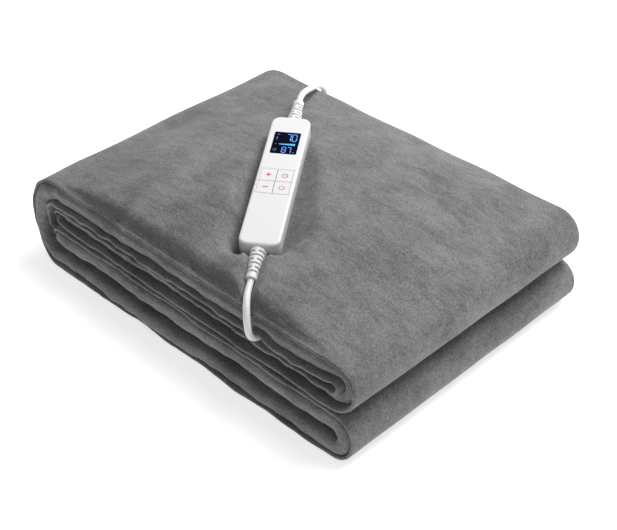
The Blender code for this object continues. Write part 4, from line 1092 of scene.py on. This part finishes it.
def ring(build, centre, radius, width, start=0.0, end=2 * math.pi, steps=28):
    """Flat ring, or part of one, on the controller's face."""
    whole = end - start > 2 * math.pi - 1e-6
    columns = []
    for i in range(steps if whole else steps + 1):
        angle = start + (end - start) * i / steps
        column = []
        for size, height in ((radius - width / 2, 0), (radius + width / 2, 0),
                             (radius + width / 2, PRINT_THICKNESS), (radius - width / 2, PRINT_THICKNESS)):
            column.append(build.verts.new((centre[0] + size * math.cos(angle),
                                           centre[1] + size * math.sin(angle), PRINT_HEIGHT + height)))
        columns.append(column)
    pairs = list(zip(columns, columns[1:] + columns[:1])) if whole else list(zip(columns, columns[1:]))
    for before, after in pairs:
        for i in range(4):
            j = (i + 1) % 4
            build.faces.new((before[i], after[i], after[j], before[j]))
    if not whole:
        build.faces.new(list(reversed(columns[0])))
        build.faces.new(columns[-1])


def print_object(name, build, look, body):
    """Turn drawn strokes and rings into a piece that rides on a body."""
    bmesh.ops.recalc_face_normals(build, faces=build.faces)
    mesh = bpy.data.meshes.new(name)
    build.to_mesh(mesh)
    build.free()
    mesh.transform(CASE_MATRIX)
    thing = link(bpy.data.objects.new(name, mesh))
    mesh.materials.append(look)
    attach(thing, body)


def add_digits(build, text, left, low, width, height, gap, thickness):
    """Digits made of seven strokes, measured from the middle of the window."""
    for number, digit in enumerate(text):
        x = left + number * (width + gap)
        for name in DIGITS[digit]:
            (ax, ay), (bx, by) = SEGMENTS[name]
            start = Vector((x + ax * width, WINDOW_CENTRE + low + ay * height / 2))
            end = Vector((x + bx * width, WINDOW_CENTRE + low + by * height / 2))
            inset = (end - start).normalized() * thickness * STROKE_INSET
            stroke(build, start + inset, end - inset, thickness)


def add_display():
    digits = bmesh.new()
    for row in DISPLAY_DIGITS:
        add_digits(digits, *row)
    print_object("display_digits", digits, BLUE_GLOW, "blanket")
    bar = bmesh.new()
    for number in range(BAR_BLOCKS):
        x = BAR_LEFT + number * BAR_PITCH
        width = BAR_FIRST_WIDTH + (BAR_LAST_WIDTH - BAR_FIRST_WIDTH) * number / (BAR_BLOCKS - 1)
        stroke(bar, (x, WINDOW_CENTRE + BAR_Y), (x + BAR_BLOCK, WINDOW_CENTRE + BAR_Y), width)
    print_object("display_bar", bar, BRIGHT_BLUE_GLOW, "blanket")
    marks = bmesh.new()
    for (ax, ay), (bx, by), width in DISPLAY_MARKS:
        stroke(marks, (ax, WINDOW_CENTRE + ay), (bx, WINDOW_CENTRE + by), width)
    x, y, radius, width = DISPLAY_RING
    ring(marks, (x, WINDOW_CENTRE + y), radius, width)
    print_object("display_marks", marks, SOFT_BLUE_GLOW, "blanket")


def add_key_marks():
    for name, (x, y) in KEY_CENTRES.items():
        mark = bmesh.new()
        for radius, width, start, end in KEY_RINGS.get(name, ()):
            ring(mark, (x, y), radius, width, start, end)
        for (ax, ay), (bx, by), width in KEY_STROKES[name]:
            stroke(mark, (x + ax, y + ay), (x + bx, y + by), width)
        print_object(name + "_mark", mark, RED_PRINT, name + "_key")


def main():
    add_camera()
    add_mains_cord()
    add_lead()
    add_surroundings()
    add_fleece()
    add_looks()
    add_display()
    add_key_marks()


main()
